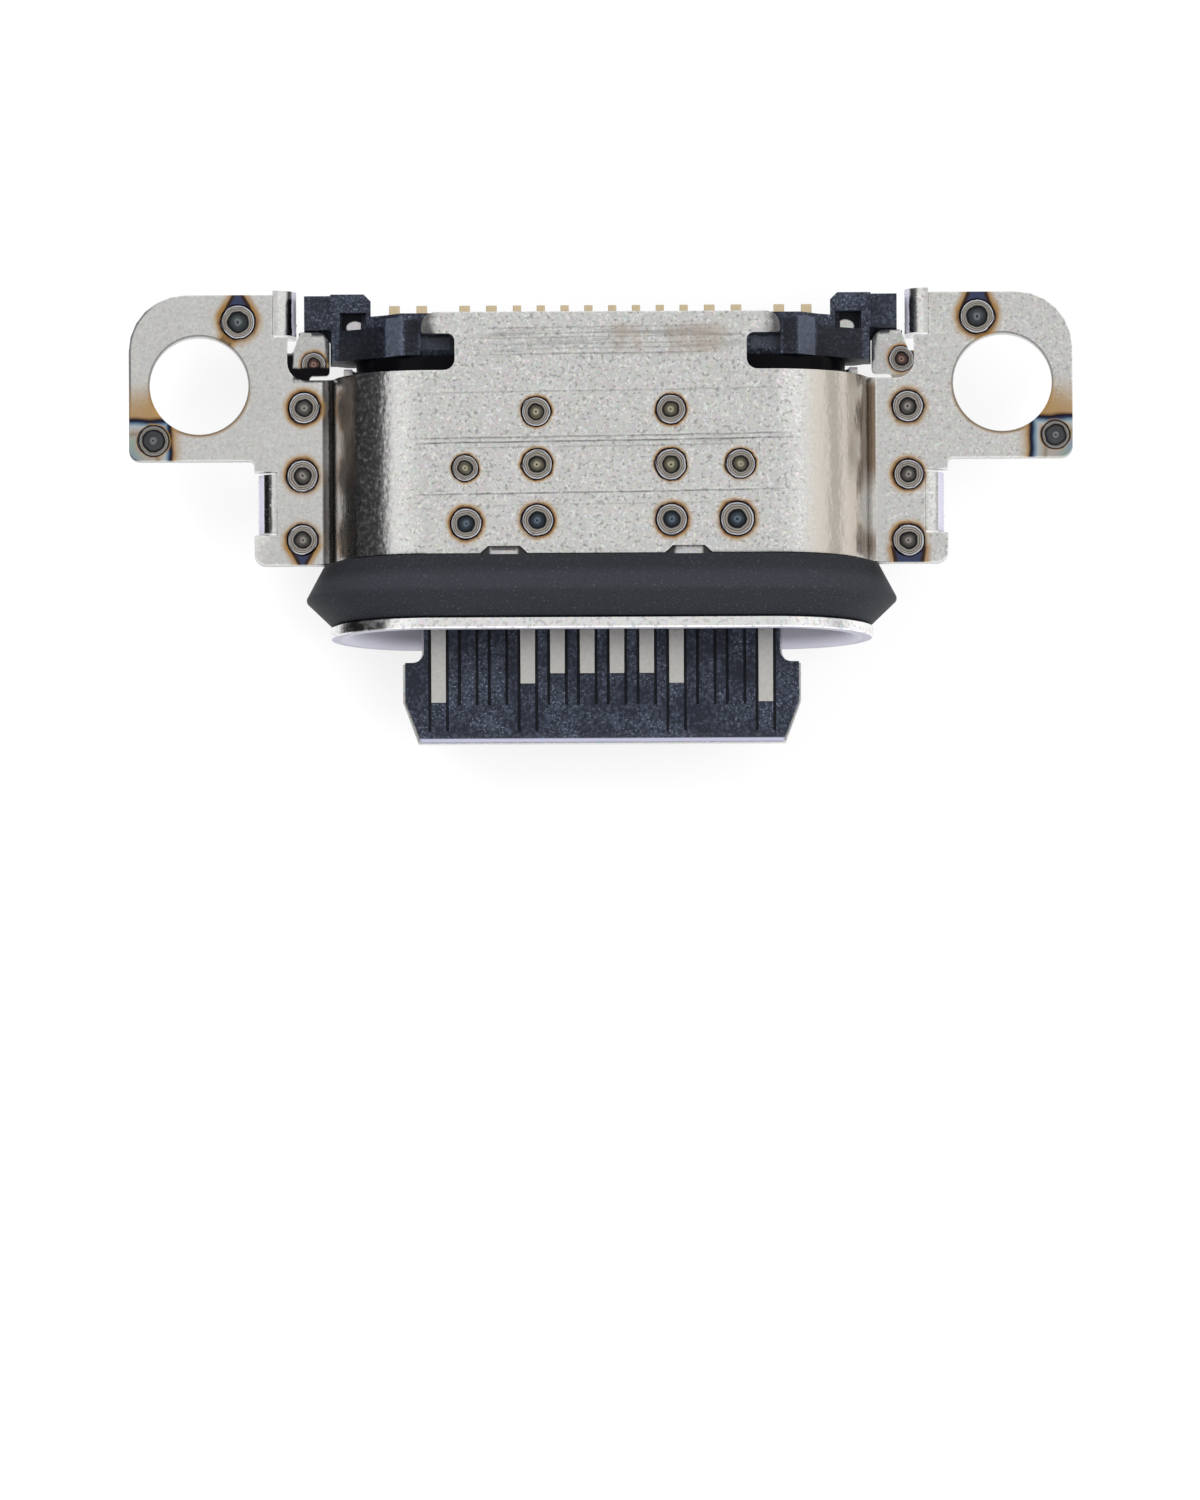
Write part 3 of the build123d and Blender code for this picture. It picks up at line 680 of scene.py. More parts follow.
@dataclass(frozen=True)
class Row:
    """Weld spots of one pass: their places, the colour of their pits and their heat."""

    marks: tuple[Mark, ...]
    level: float
    pit: Colour
    heat: float = 1.0
    pit_share: float = 0.56
    wide_pit: float = 0.7
    rim: float = 0.472

    def rings(self) -> Stops:
        """Colour of each ring of a spot, over half the share of its radius.

        Returns:
            The stops of the ramp.
        """
        # The stop at 0.060 is a painted highlight at the centre of the pit.
        bright, dim, dark = (
            tuple(min(1.0, part * factor) for part in self.pit) for factor in (3.2, 0.6, 0.3))
        beige, umber, black = (0.33, 0.305, 0.265), (0.055, 0.045, 0.04), (0.014, 0.014, 0.016)
        lilac, outline = (0.54, 0.54, 0.57), SOOT
        if self.pit_share > self.wide_pit:
            lilac, outline = (0.30, 0.30, 0.31), (0.09, 0.085, 0.08)
        edge = self.pit_share / 2
        outer = ((0.06, (0.26, 0.24, 0.22)), (0.20, beige), (0.31, umber), (0.43, beige),
                 (0.55, (0.40, 0.375, 0.34)), (0.66, umber), (0.79, lilac), (0.92, lilac))
        return (
            (0.0, dark), (0.028, dark), (0.060, bright), (0.125, self.pit), (edge - 0.085, dim),
            (edge - 0.045, black), (edge - 0.012, black),
            *((edge + (self.rim - edge) * share, colour) for share, colour in outer),
            (0.474, outline), (0.510, outline), (0.526, BROWN),
        )


MIDDLE_ROWS = Row(
    (Mark(-1.09, -0.636, 0.26), Mark(1.176, -0.605, 0.26), Mark(-2.287, -1.587, 0.235),
     Mark(-1.077, -1.525, 0.27), Mark(1.175, -1.536, 0.275), Mark(2.345, -1.532, 0.26)),
    FACE_LEVEL, (0.17, 0.16, 0.115), 0.6,
)
FRONT_ROW = Row(
    (Mark(-2.275, -2.526, 0.275), Mark(-1.073, -2.473, 0.28), Mark(1.182, -2.467, 0.275),
     Mark(2.286, -2.464, 0.30)),
    FACE_LEVEL, (0.055, 0.070, 0.088), 1.1,
)
LEG_ROW = Row(
    (Mark(-4.988, -0.389, 0.275), Mark(-5.019, -1.54, 0.28), Mark(-5.021, -2.623, 0.27, -1),
     Mark(5.158, -0.405, 0.275), Mark(5.165, -1.556, 0.262), Mark(5.164, -2.673, 0.28, -1, 0.14)),
    SHEET, (0.13, 0.12, 0.11), 1.3,
)
EAR_REAR = Row((Mark(-6.091, 1.072, 0.30, 1), Mark(6.33, 1.112, 0.30, 1, 0.40)),
               SHEET, (0.075, 0.085, 0.09), 1.6, 0.62)
EAR_CORNER = Row((Mark(-7.52, -0.935, 0.27), Mark(7.64, -0.9, 0.25)),
                 SHEET, (0.085, 0.09, 0.095), 0.2, 0.74)
UPPER_ROWS = (MIDDLE_ROWS, FRONT_ROW, LEG_ROW, EAR_REAR, EAR_CORNER)
NECK_SPOTS = Row((Mark(-4.823, 0.365, 0.21), Mark(5.06, 0.42, 0.22)), 0.0, (0.13, 0.08, 0.07), 1.2)
UNDER_ROWS = Row(
    tuple(Mark(x, y, 0.245) for x, y in (
        (1.20, -0.62), (-1.29, -0.61), (2.38, -1.51), (1.20, -1.53), (-1.29, -1.52),
        (-2.33, -1.51), (2.36, -2.43), (1.20, -2.42), (-1.285, -2.43), (-2.33, -2.44))),
    -FACE_LEVEL, (0.075, 0.082, 0.092), 1.5,
)
SPOT_RINGS = (
    (0.014, 0.014), (0.018, -0.018), (0.022, -0.004), (0.018, 0.006), (0.016, -0.006),
    (0.018, 0.007), (0.018, 0.009), (0.026, 0.008), (0.030, 0.004), (0.024, -0.008),
)


@dataclass(frozen=True)
class Scratch:
    """Fine line that the tool drew across the face."""

    y: float
    reach: float
    strength: float
    width: float = 0.010


@dataclass(frozen=True)
class NickelFinish:
    """Nickel-plated sheet with fine grain, glints, drawing scratches and weld tints; parts of it
    get painted reflections and shade.
    """

    name: str
    rows: tuple[Row, ...]
    scratches: tuple[Scratch, ...]
    colour: Colour = (0.715, 0.710, 0.692)
    roughness: float = 0.25
    slant: float = 0.012
    burnt_and_shaded: bool = False

    def build(self) -> bpy.types.Material:
        """Make the material.

        Returns:
            The finished material.
        """
        shader = Shader.named(self.name)
        flat = shader.up.size().step(FACE_LEVEL - 0.12, FACE_LEVEL - 0.01)
        on_ear = shader.side.step(4.62, 4.75)
        speckle = shader.noise(17.0, 3.0)
        grainy = 0.30 + flat * 0.70 + shader.across.step(4.7, 4.9) * 0.45
        bands = shader.noise(1.0, 3.0, (0.12, 9.0, 0.12))
        tone = 0.575 + speckle * 0.36 + shader.noise(0.9, 3.0) * 0.12 + bands * 0.08
        tone = tone + shader.noise(9.0) * 0.08 + shader.noise(20.0, 1.0) * (0.12 + grainy * 0.10)
        shader.prime(self.colour, tone)
        shader.paint(0.03 + grainy * 0.09, shader.cells(23.0), "OVERLAY")
        glint = shader.noise(19.0, 1.0).step(0.56, 0.68) * grainy * 0.90
        shader.paint(glint, shader.mix(0.12, (1.0, 0.99, 0.96), shader.cells(8.0)))
        pits = shader.noise(16.0, 1.0).step(0.42, 0.30) * grainy * 0.62
        shader.paint(pits, (0.30, 0.295, 0.29))
        self.draw_scratches(shader, flat)
        metal: Value | float = 1.0
        # Heat tints and wear, with painted reflections and painted shade on the walls, the lug, the
        # tips and the stubs.
        if self.burnt_and_shaded:
            self.shade_and_stain_walls(shader)
            self.burn_and_shade_holes(shader)
            self.burn_corners(shader)
            self.rub(shader)
            metal = 1 - self.shade_and_tear(shader)
        pushed = self.pushed(shader)
        glossy = sum(self.spots(shader, row, pushed) for row in self.rows) * 0.10
        if not self.burnt_and_shaded:
            self.scuff(shader)
            self.shade_slots(shader)
        wall = (1 - flat) * (1 - on_ear)
        peel = shader.noise(10.0, 2.0, (1.0, 0.55, 1.0))
        normal = shader.bump(speckle * 0.30 + peel * (0.25 + wall * 1.5), 0.0042)
        rough = self.roughness + speckle * 0.08 - wall * 0.05 - on_ear * 0.07 - glossy
        return shader.surface({"Metallic": metal, "Roughness": rough, "Normal": normal})

    @staticmethod
    def pushed(shader: Shader, reach: float = 0.056) -> Value:
        """The shaded point, pushed about a little, so that rings are uneven.

        Args:
            shader: the finish in the making.
            reach: how far apart it can be pushed.

        Returns:
            The pushed point.
        """
        noise = shader.noise(7.0, 3.0, output="Color")
        moved = shader.vector("MULTIPLY_ADD", noise, (reach, reach, 0.0), shader.place)
        return shader.vector("SUBTRACT", moved, (reach / 2, reach / 2, 0.0))

    def draw_scratches(self, shader: Shader, flat: Value) -> None:
        """Draw the fine lines across the face.

        Args:
            shader: the finish in the making.
            flat: 1 on the flat face.
        """
        lengthwise = (1.0, 0.0, 0.0)
        sway = shader.noise(0.5, 2.0, lengthwise) * 0.06 - 0.04
        sway = sway + shader.noise(5.0, 2.0, lengthwise) * 0.02
        level = shader.along - sway - shader.across * self.slant
        for number, scratch in enumerate(self.scratches):
            worn = shader.noise(1.3 + 0.37 * number, 3.0, lengthwise).step(0.34, 0.58)
            kept = shader.side.step(scratch.reach + 0.5, scratch.reach - 0.4) * flat
            kept = kept * scratch.strength
            away, soft = level - scratch.y, (scratch.width * 2.2, scratch.width * 0.6)
            # Painted highlight: a light line on the raised edge beside each scratch.
            lit_ridge = (away - scratch.width * 3.0).size().step(*soft)
            shader.paint(lit_ridge * (0.15 + worn * 0.35) * kept, (0.93, 0.93, 0.91))
            shader.paint(away.size().step(*soft) * (0.30 + worn * 0.70) * kept,
                         (0.10, 0.098, 0.095))

    @staticmethod
    def shade_and_stain_walls(shader: Shader) -> None:
        """Paint reflections, shade and stains on the curved walls near their folds.

        Args:
            shader: the finish in the making.
        """
        side, up, paint = shader.side, shader.up, shader.paint
        patchy = shader.noise(1.1, 3.0, (2.2, 1.0, 0.3)).step(0.30, 0.66)
        worms = shader.noise(17.0, 2.0, (1.0, 0.75, 0.5))
        left, right = shader.across.step(-3.0, -3.2), shader.across.step(3.0, 3.2)
        above = up.step(0.185, 0.26)
        sway = side + patchy * 0.05
        # Painted reflection: a dark band on the left wall, with painted highlights in its worm
        # pattern.
        dark_reflection = (side + worms * 0.24 - 0.12).step(3.44, 3.80) * sway.step(4.22, 4.15) * left * above
        paint(dark_reflection * (0.30 + worms.step(0.36, 0.62) * 0.45), (0.12, 0.115, 0.145))
        paint(worms.step(0.38, 0.28) * dark_reflection * 0.8, (1.0, 0.98, 1.0))
        # Painted reflection: a brownish band on the left wall, nearer the fold.
        warm_reflection = sway.band(4.15, 4.22, 4.45, 4.50) * left * above
        paint(warm_reflection * (0.20 + patchy * 0.45), (0.48, 0.37, 0.31))
        # Painted light over the right wall; the browner band and the spots near the right fold are
        # stains.
        paint(side.band(3.30, 3.75, 4.20, 4.40) * right * above * 0.85, (0.66, 0.60, 0.52))
        paint(side.band(4.05, 4.22, 4.35, 4.40) * right * above * 0.5, (0.50, 0.42, 0.34))
        spots = shader.noise(0.62, 2.0, (0.0, 1.0, 0.0)).step(0.42, 0.56)
        brown = sway.step(4.37, 4.42) * side.step(4.64, 4.60) * right * up.step(0.178, 0.186)
        paint(brown * (0.30 + spots * 0.62), (0.16, 0.10, 0.05))
        # Painted shade in the concave left fold.
        fold_shade = side.band(4.45, 4.50, 4.66, 4.70) * left
        paint(fold_shade * (0.74 + patchy * 0.15), (0.030, 0.022, 0.017))

    @staticmethod
    def burn_and_shade_holes(shader: Shader) -> None:
        """Tint the rims of the screw holes, and paint shade lines round their edges and along the
        left ear's outer edge.

        Args:
            shader: the finish in the making.
        """
        along, up, paint = shader.along, shader.up, shader.paint
        inner = shader.side - SCREW_PLACE
        reach, top = inner.reach(along), up.step(0.0, 0.1)
        rim = reach.step(SCREW_RADIUS + 0.075, SCREW_RADIUS + 0.03) * up.step(-0.05, 0.02)
        paint(rim * along.step(0.25, -0.45) * 0.75, (0.46, 0.27, 0.10))
        outer = inner.step(0.2, 0.7) * along.step(0.05, -0.45) * reach.step(1.30, 0.86)
        paint(outer * top * 0.55, STRAW)
        for mark in EAR_REAR.marks:
            detour = shader.distance((mark.x, mark.y, EAR_REAR.level)) + reach
            total = math.dist((abs(mark.x), mark.y), (SCREW_PLACE, 0))
            paint(detour.step(total + 0.075, total + 0.025) * 0.75, TAN)
            paint(detour.step(total + 0.028, total + 0.012) * 0.9, (0.022, 0.024, 0.055))
        # Painted shade: a dark line round each hole's edge.
        paint(reach.step(0.868, 0.848) * top * 0.7, (0.13, 0.125, 0.12))
        # Painted shade: a dark line along the left ear's outer edge.
        bound = (shader.side - 6.98).most(0.0).reach((along - 0.58).most(0.0)).step(0.900, 0.925)
        bound = bound * along.band(-1.25, -1.20, 1.20, 1.45) * shader.across.step(0.0, -0.1)
        paint(bound * 0.75, (0.10, 0.10, 0.115))

    @staticmethod
    def burn_corners(shader: Shader) -> None:
        """Colour the two outer front corners of the ears, where the heat could not flow away.

        Args:
            shader: the finish in the making.
        """
        curve = shader.noise(2.4, 1.0) * 0.10 - 0.05
        inward = shader.side - 7.21 + curve
        forward = -0.56 - shader.along + curve
        depth, top = inward.least(forward), shader.up.step(0.0, 0.1)
        above = forward.step(-0.75, -0.02) * inward.step(-0.25, 0.05)
        beside = inward.step(-0.16, -0.02) * forward.step(-0.12, 0.0)
        shader.paint(above.most(beside) * top * 0.85, (0.50, 0.30, 0.11))
        inside = depth.step(-0.05, 0.02) * top
        shader.paint(inside, (depth * 1.6).ramp(CORNER_TINTS))
        rainbow = shader.side.step(7.62, 7.85) * shader.along.step(-0.72, -1.0) * inside
        shader.paint(rainbow * 0.55, shader.noise(2.2, 1.0).ramp(RAINBOW))

    @staticmethod
    def rub(shader: Shader) -> None:
        """Rub the face near its rear edge and soil its middle.

        Args:
            shader: the finish in the making.
        """
        across, along, paint = shader.across, shader.along, shader.paint
        face = shader.up.step(1.45, 1.55)
        strokes = shader.noise(1.0, 3.0, (0.55, 13.0, 1.0)).step(0.50, 0.66)
        worn = strokes * along.band(0.26, 0.36, 0.72, 0.84) * face
        paint(worn * across.band(-2.2, -1.7, 2.2, 2.6) * 0.45, (0.28, 0.275, 0.265))
        blots = shader.noise(2.1, 2.0, (1.0, 0.35, 1.0)).step(0.42, 0.58)
        rust = blots * along.band(0.28, 0.42, 0.76, 0.92) * across.band(0.05, 0.35, 1.95, 2.25)
        paint(rust * face * 0.45, (0.44, 0.34, 0.25))
        grime = shader.noise(0.9, 3.0).step(0.40, 0.72)
        middle = (along + 1.10).size().step(0.22, 0.05) * across.band(-3.0, -2.4, 2.4, 3.2)
        paint(middle * grime * face * 0.30, (0.34, 0.33, 0.315))

    @staticmethod
    def shade_and_tear(shader: Shader) -> Value:
        """Paint shade on the lug's curled ends, the left rear end of the wall and the stubs' bends,
        paint highlights on the front stub's bend, and bare the stubs' torn edges.

        Args:
            shader: the finish in the making.

        Returns:
            The share that is rough and torn.
        """
        across, along, side, paint = shader.across, shader.along, shader.side, shader.paint
        ragged, left = shader.noise(5.0, 3.0), across.step(-4.0, -4.1)
        lug = along.step(0.60, 0.66) * shader.up.step(1.45, 1.55)
        # Painted shade where the lug's ends curl down.
        paint((side + ragged * 0.24).step(2.84, 3.04) * lug * 0.85, (0.035, 0.033, 0.036))
        front_stub = along.band(-2.56, -2.50, -1.50, -1.44)
        # Painted shade on the front stub's bend.
        bend = (across + ragged * 0.05).band(-5.66, -5.60, -5.53, -5.49) * front_stub
        paint(bend * 0.9, (0.020, 0.018, 0.022))
        rear = along.step(0.83, 0.87)
        # Painted shade on the rear stub, heavier on the left.
        dark = rear * (side + ragged * 0.07).step(5.31, 5.27) * side.step(5.10, 5.13)
        paint(dark * shader.up.step(-0.5, -0.4) * (0.45 + left * 0.45), (0.018, 0.016, 0.020))
        torn = rear * (side + ragged * 0.05).step(5.225, 5.205) * side.step(5.06, 5.09)
        torn = torn + side.step(5.655, 5.675) * front_stub
        paint(torn, (0.52, 0.51, 0.61))
        # Painted highlights on the front stub's bend.
        paint(bend * shader.noise(15.0).step(0.56, 0.66) * 0.8, (0.55, 0.55, 0.56))
        # Painted shade on the left rear cut edge of the wall.
        tip = along.band(0.02, 0.06, 0.24, 0.30) * side.band(4.10, 4.16, 5.14, 5.20) * left
        tip = tip * ragged.step(0.62, 0.44) * shader.up.step(1.3, 1.1)
        paint(tip * 0.92, (0.016, 0.015, 0.018))
        return torn

    @staticmethod
    def scuff(shader: Shader) -> None:
        """Scuff the lower face and leave two straw patches beside its weld spots.

        Args:
            shader: the finish in the making.
        """
        lengthwise = shader.noise(1.0, 4.0, (0.8, 12.0, 1.0)).step(0.50, 0.66)
        crosswise = shader.noise(1.0, 4.0, (12.0, 0.8, 1.0)).step(0.52, 0.68)
        patches = shader.noise(0.8, 3.0).step(0.40, 0.62) * shader.up.step(-1.45, -1.55)
        shader.paint(lengthwise.most(crosswise * 0.8) * patches * 0.55, (0.17, 0.165, 0.155))
        patchy = shader.noise(3.0, 3.0).step(0.35, 0.60)
        for x, y, reach in ((-1.60, -0.90, 0.30), (-2.74, -1.48, 0.22)):
            near = shader.distance((x, y, -FACE_LEVEL)).step(reach, reach * 0.4)
            shader.paint(near * patchy * 0.65, (0.42, 0.25, 0.10))
        ledge = shader.side.band(4.14, 4.22, 4.60, 4.66) * shader.up.step(-0.19, -0.26)
        tinted = shader.noise(0.8, 2.0, (0.0, 1.0, 0.0)).step(0.45, 0.60)
        shader.paint(ledge * tinted * 0.6, (0.20, 0.16, 0.12))

    @staticmethod
    def shade_slots(shader: Shader) -> None:
        """Darken the lower sheet where it lies in the slots of the upper one.

        Args:
            shader: the finish in the making.
        """
        across, along, top = shader.across, shader.along, shader.up.step(-0.03, -0.01)
        ragged = shader.noise(5.0) * 0.06
        beside = (across + ragged).step(-5.11, -5.15) * along.step(0.62, 0.50)
        below = (along + ragged).step(0.37, 0.32)
        shader.paint(beside.most(below) * top * across.step(-4.0, -4.1), (0.010, 0.009, 0.011))
        seam = (along + ragged).step(0.20, 0.17) * top * across.step(4.0, 4.1)
        shader.paint(seam * 0.6, (0.30, 0.22, 0.15))

    @staticmethod
    def draw_heat(shader: Shader, row: Row, near: Value) -> None:
        """Draw heat out from weld spots to the edge beside them.

        Args:
            shader: the finish in the making.
            row: the weld spots.
            near: 1 at the height of the spots.
        """
        ragged = shader.noise(3.2) * 0.05 - 0.025
        for mark in (mark for mark in row.marks if mark.drawn):
            away = ((shader.along - mark.y) * float(mark.drawn)).most(0.0) / mark.radius
            half = (1.06 - away * mark.taper).most(0.2) * mark.radius + ragged
            beside = (shader.across - mark.x).size() - half
            beyond = away.step(0.05, 0.5) * near
            shader.paint(beside.step(0.17, 0.02) * beyond * 0.85, TAN)
            shader.paint(beside.step(0.035, 0.0) * beyond * 0.95, (0.030, 0.020, 0.024))
            shader.paint(beside.step(-0.03, -0.07) * beyond * 0.8, (0.065, 0.085, 0.17))

    def spots(self, shader: Shader, row: Row, pushed: Value) -> Value:
        """Paint weld spots and the heat round them.

        Args:
            shader: the finish in the making.
            row: the weld spots.
            pushed: the shaded point, pushed about a little.

        Returns:
            The share that lies in a spot.
        """
        share = reduce(Value.least, (
            shader.distance((mark.x, mark.y, row.level), pushed) / mark.radius
            for mark in row.marks))
        patchy = shader.noise(1.9).step(0.30, 0.60)
        near = (shader.up - row.level).size().step(0.12, 0.06)
        straw = share.step(1.10 + 0.28 * row.heat, 1.0) * (0.40 + patchy * 0.60)
        shader.paint(straw * near, STRAW)
        inner = share.step(1.03 + 0.15 * row.heat, 0.99) * (0.60 + patchy * 0.40)
        shader.paint(inner * near, BROWN)
        self.draw_heat(shader, row, near)
        inside = share.step(1.035, 1.0) * near
        shader.paint(inside, (share * 0.5).ramp(row.rings()))
        return inside


class Kind(Enum):
    """Place of a plain steel piece, which decides where it is dark."""

    SHELL = "shell"
    PLATE = "plate"


@dataclass(frozen=True)
class PlainSteelFinish:
    """Bright drawn or cut steel without welds."""

    name: str
    kind: Kind
    colour: Colour = (0.72, 0.715, 0.71)
    roughness: float = 0.22

    def build(self) -> bpy.types.Material:
        """Make the material.

        Returns:
            The finished material.
        """
        shader = Shader.named(self.name)
        speckle, clouds = shader.noise(19.0, 3.0), shader.noise(1.4)
        shader.prime(self.colour, 0.76 + speckle * 0.32 + clouds * 0.12)
        shader.paint(0.20, shader.cells(20.0), "OVERLAY")
        glint = shader.noise(21.0, 1.0).step(0.58, 0.70) * 0.55
        shader.paint(glint, shader.mix(0.25, (1.0, 0.99, 0.98), shader.cells(8.0)))
        shade = self.shade_shell if self.kind is Kind.SHELL else self.shade_plate
        dull = shade(shader)
        rough = self.roughness + clouds * 0.10 + dull * 0.5
        return shader.surface({"Metallic": 1 - dull, "Roughness": rough,
                               "Normal": shader.bump(speckle, 0.003)})

    @staticmethod
    def shade_shell(shader: Shader) -> Value:
        """Dull the inside of the mouth, mottle the rim and paint glints on it, and paint shade on
        the shell under the notches.

        Args:
            shader: the finish in the making.

        Returns:
            The share that is dull.
        """
        across, along, up, paint = shader.across, shader.along, shader.up, shader.paint
        patchy = shader.noise(4.0, 3.0)
        radius = (shader.side - SHELL_FLAT).most(0.0).reach(up)
        inside = radius.step(1.34, 1.29).most(radius.step(1.50, 1.46) * along.step(-4.02, -4.09))
        paint(inside * 0.9, (0.45, 0.445, 0.53))
        front = along.step(-4.27, -4.295) * (1 - inside)
        paint(front * 0.95, (0.39, 0.39, 0.455))
        edge = along.step(-4.08, -4.14) * radius.step(1.64, 1.66)
        # Painted glints along the rim's edge.
        bright = edge * shader.noise(13.0).step(0.34, 0.50)
        paint(bright * 0.85, shader.mix(0.10, (1.0, 0.995, 0.99), shader.cells(16.0)))
        mottle = edge * across.band(-4.35, -4.15, -3.75, -3.5) * patchy.step(0.40, 0.55)
        paint(mottle * 0.85, (0.045, 0.043, 0.050))
        for place in (-1.64, 1.47):
            notch = (across - place).size()
            near = notch.step(0.42, 0.38) * up.step(1.3, 1.38)
            # Painted shade in the notch corners and along the notch's back edge.
            corner = notch.step(0.20, 0.26) * along.step(-3.14, -3.06) * patchy.step(0.30, 0.40)
            paint(corner * near * 0.92, (0.012, 0.011, 0.012))
            middle = notch.step(0.30, 0.24) * (along + 2.93).size().step(0.045, 0.02)
            paint(middle * near * patchy.step(0.55, 0.45) * 0.8, (0.05, 0.045, 0.045))
        return inside.most(front) * 0.85

    @staticmethod
    def shade_plate(shader: Shader) -> Value:
        """Leave only a rounded bump of the plate bright in the slots of the end blocks.

        Args:
            shader: the finish in the making.

        Returns:
            The share that is dull.
        """
        in_slot = shader.along.band(0.70, 0.76, 1.19, 1.21)
        bump = ((shader.side - 4.12) / 0.155).reach((shader.along - 0.975) / 0.115)
        # Painted shade over the plate in the slot, apart from the rounded bump; the shaded part is
        # dulled too.
        dark = in_slot * (bump + shader.noise(5.0) * 0.3 - 0.15).step(0.80, 1.0)
        shader.paint(dark, (0.008, 0.009, 0.013))
        return dark * 0.9


@dataclass(frozen=True)
class RubberFinish:
    """Matt dark rubber with fine dust and faint flow lines."""

    name: str
    colour: Colour = (0.015, 0.0165, 0.0205)

    def build(self) -> bpy.types.Material:
        """Make the material.

        Returns:
            The finished material.
        """
        shader = Shader.named(self.name)
        dust = shader.noise(26.0)
        flow = shader.noise(1.0, 3.0, (0.5, 7.0, 7.0))
        # Painted light: a lighter band over the lip's crest.
        lit_ridge = shader.along.band(-3.74, -3.58, -3.46, -3.25)
        shader.prime(self.colour, 0.50 + dust * 0.80 + flow * 0.25 + lit_ridge * 0.62)
        shader.paint(dust.step(0.62, 0.73) * 0.28, (0.10, 0.11, 0.12))
        return shader.surface({"Roughness": 0.55 + flow * 0.12, "Specular IOR Level": 0.17,
                               "Normal": shader.bump(dust, 0.0025)})


@dataclass(frozen=True)
class MouldedFinish:
    """Dark moulded plastic with glass-fibre specks and bluish flow marks, painted light and shade
    on given zones, and a painted highlight along the tip.
    """

    name: str
    lit_facets: tuple[tuple[float, ...], ...] = ()
    shaded_zones: tuple[tuple[float, ...], ...] = ()
    tip_highlight: float = 0.0
    groove_shade: float = 0.0
    colour: Colour = (0.0065, 0.0085, 0.016)
    flake: Colour = (0.046, 0.056, 0.082)

    def build(self) -> bpy.types.Material:
        """Make the material.

        Returns:
            The finished material.
        """
        shader = Shader.named(self.name)
        side, along, paint = shader.side, shader.along, shader.paint
        flow, fibre = shader.noise(1.6, 3.0), shader.noise(15.0, 3.0)
        streak = (flow * 0.35 + fibre * 0.65).step(0.42, 0.64)
        shader.colour = shader.mix(streak * 0.60, self.colour, self.flake)
        specks = shader.noise(26.0, 1.0).step(0.58, 0.70) * flow.step(0.34, 0.62)
        paint(specks * 0.55, (0.17, 0.20, 0.27))
        # Painted light on the lit zones and painted shade on the shaded zones.
        for zones, soft, rear_soft, strength, tint in (
                (self.lit_facets, 0.02, 0.02, 0.25 + fibre * 0.5, (0.085, 0.098, 0.135)),
                (self.shaded_zones, 0.04, 0.06, 1.05 - fibre * 0.5, (0.0016, 0.0022, 0.0045))):
            for inner, outer, front, rear in zones:
                zone = side.band(inner, inner + soft, outer - soft, outer)
                zone = zone * along.band(front, front + soft, rear - rear_soft, rear)
                paint(zone * strength, tint)
        # Painted shade where the tongue is sunk below its faces.
        sunk = shader.up.size().step(0.337, 0.318) * along.step(-5.95, -5.90)
        paint(sunk * self.groove_shade, (0.0008, 0.001, 0.002))
        # Painted highlight along the tongue's tip.
        paint(along.step(-6.000, -6.025) * self.tip_highlight, (0.46, 0.46, 0.60))
        return shader.surface({"Roughness": 0.42 + fibre * 0.22, "Specular IOR Level": 0.30,
                               "Normal": shader.bump(fibre, 0.006)})


@dataclass(frozen=True)
class SealantFinish:
    """Very dark glossy sealing glue with a wavy skin."""

    name: str

    def build(self) -> bpy.types.Material:
        """Make the material.

        Returns:
            The finished material.
        """
        shader = Shader.named(self.name)
        waves = shader.noise(3.0, 3.0)
        shader.colour = shader.mix(waves, (0.0012, 0.0012, 0.002), (0.003, 0.003, 0.004))
        return shader.surface({"Roughness": 0.14 + waves * 0.12, "Specular IOR Level": 0.05,
                               "Normal": shader.bump(waves, 0.03)})


@dataclass(frozen=True)
class PlatingFinish:
    """Contact plating: satin silver on the tongue and gold on the solder tails."""

    name: str
    silver: Colour = (0.64, 0.625, 0.595)
    gold: Colour = (0.64, 0.53, 0.35)
    bend: Colour = (0.74, 0.50, 0.15)

    def build(self) -> bpy.types.Material:
        """Make the material.

        Returns:
            The finished material.
        """
        shader = Shader.named(self.name)
        tail, grain = shader.along.step(0.3, 0.6), shader.noise(18.0, 3.0)
        plating = shader.mix(tail, self.silver, self.bend)
        plating = shader.mix(shader.along.step(1.08, 1.16), plating, self.gold)
        shader.prime(plating, 0.82 + grain * 0.30)
        rough = 0.34 + grain * 0.12 - tail * 0.10
        return shader.surface({"Metallic": 1.0, "Roughness": rough,
                               "Normal": shader.bump(grain, 0.002)})


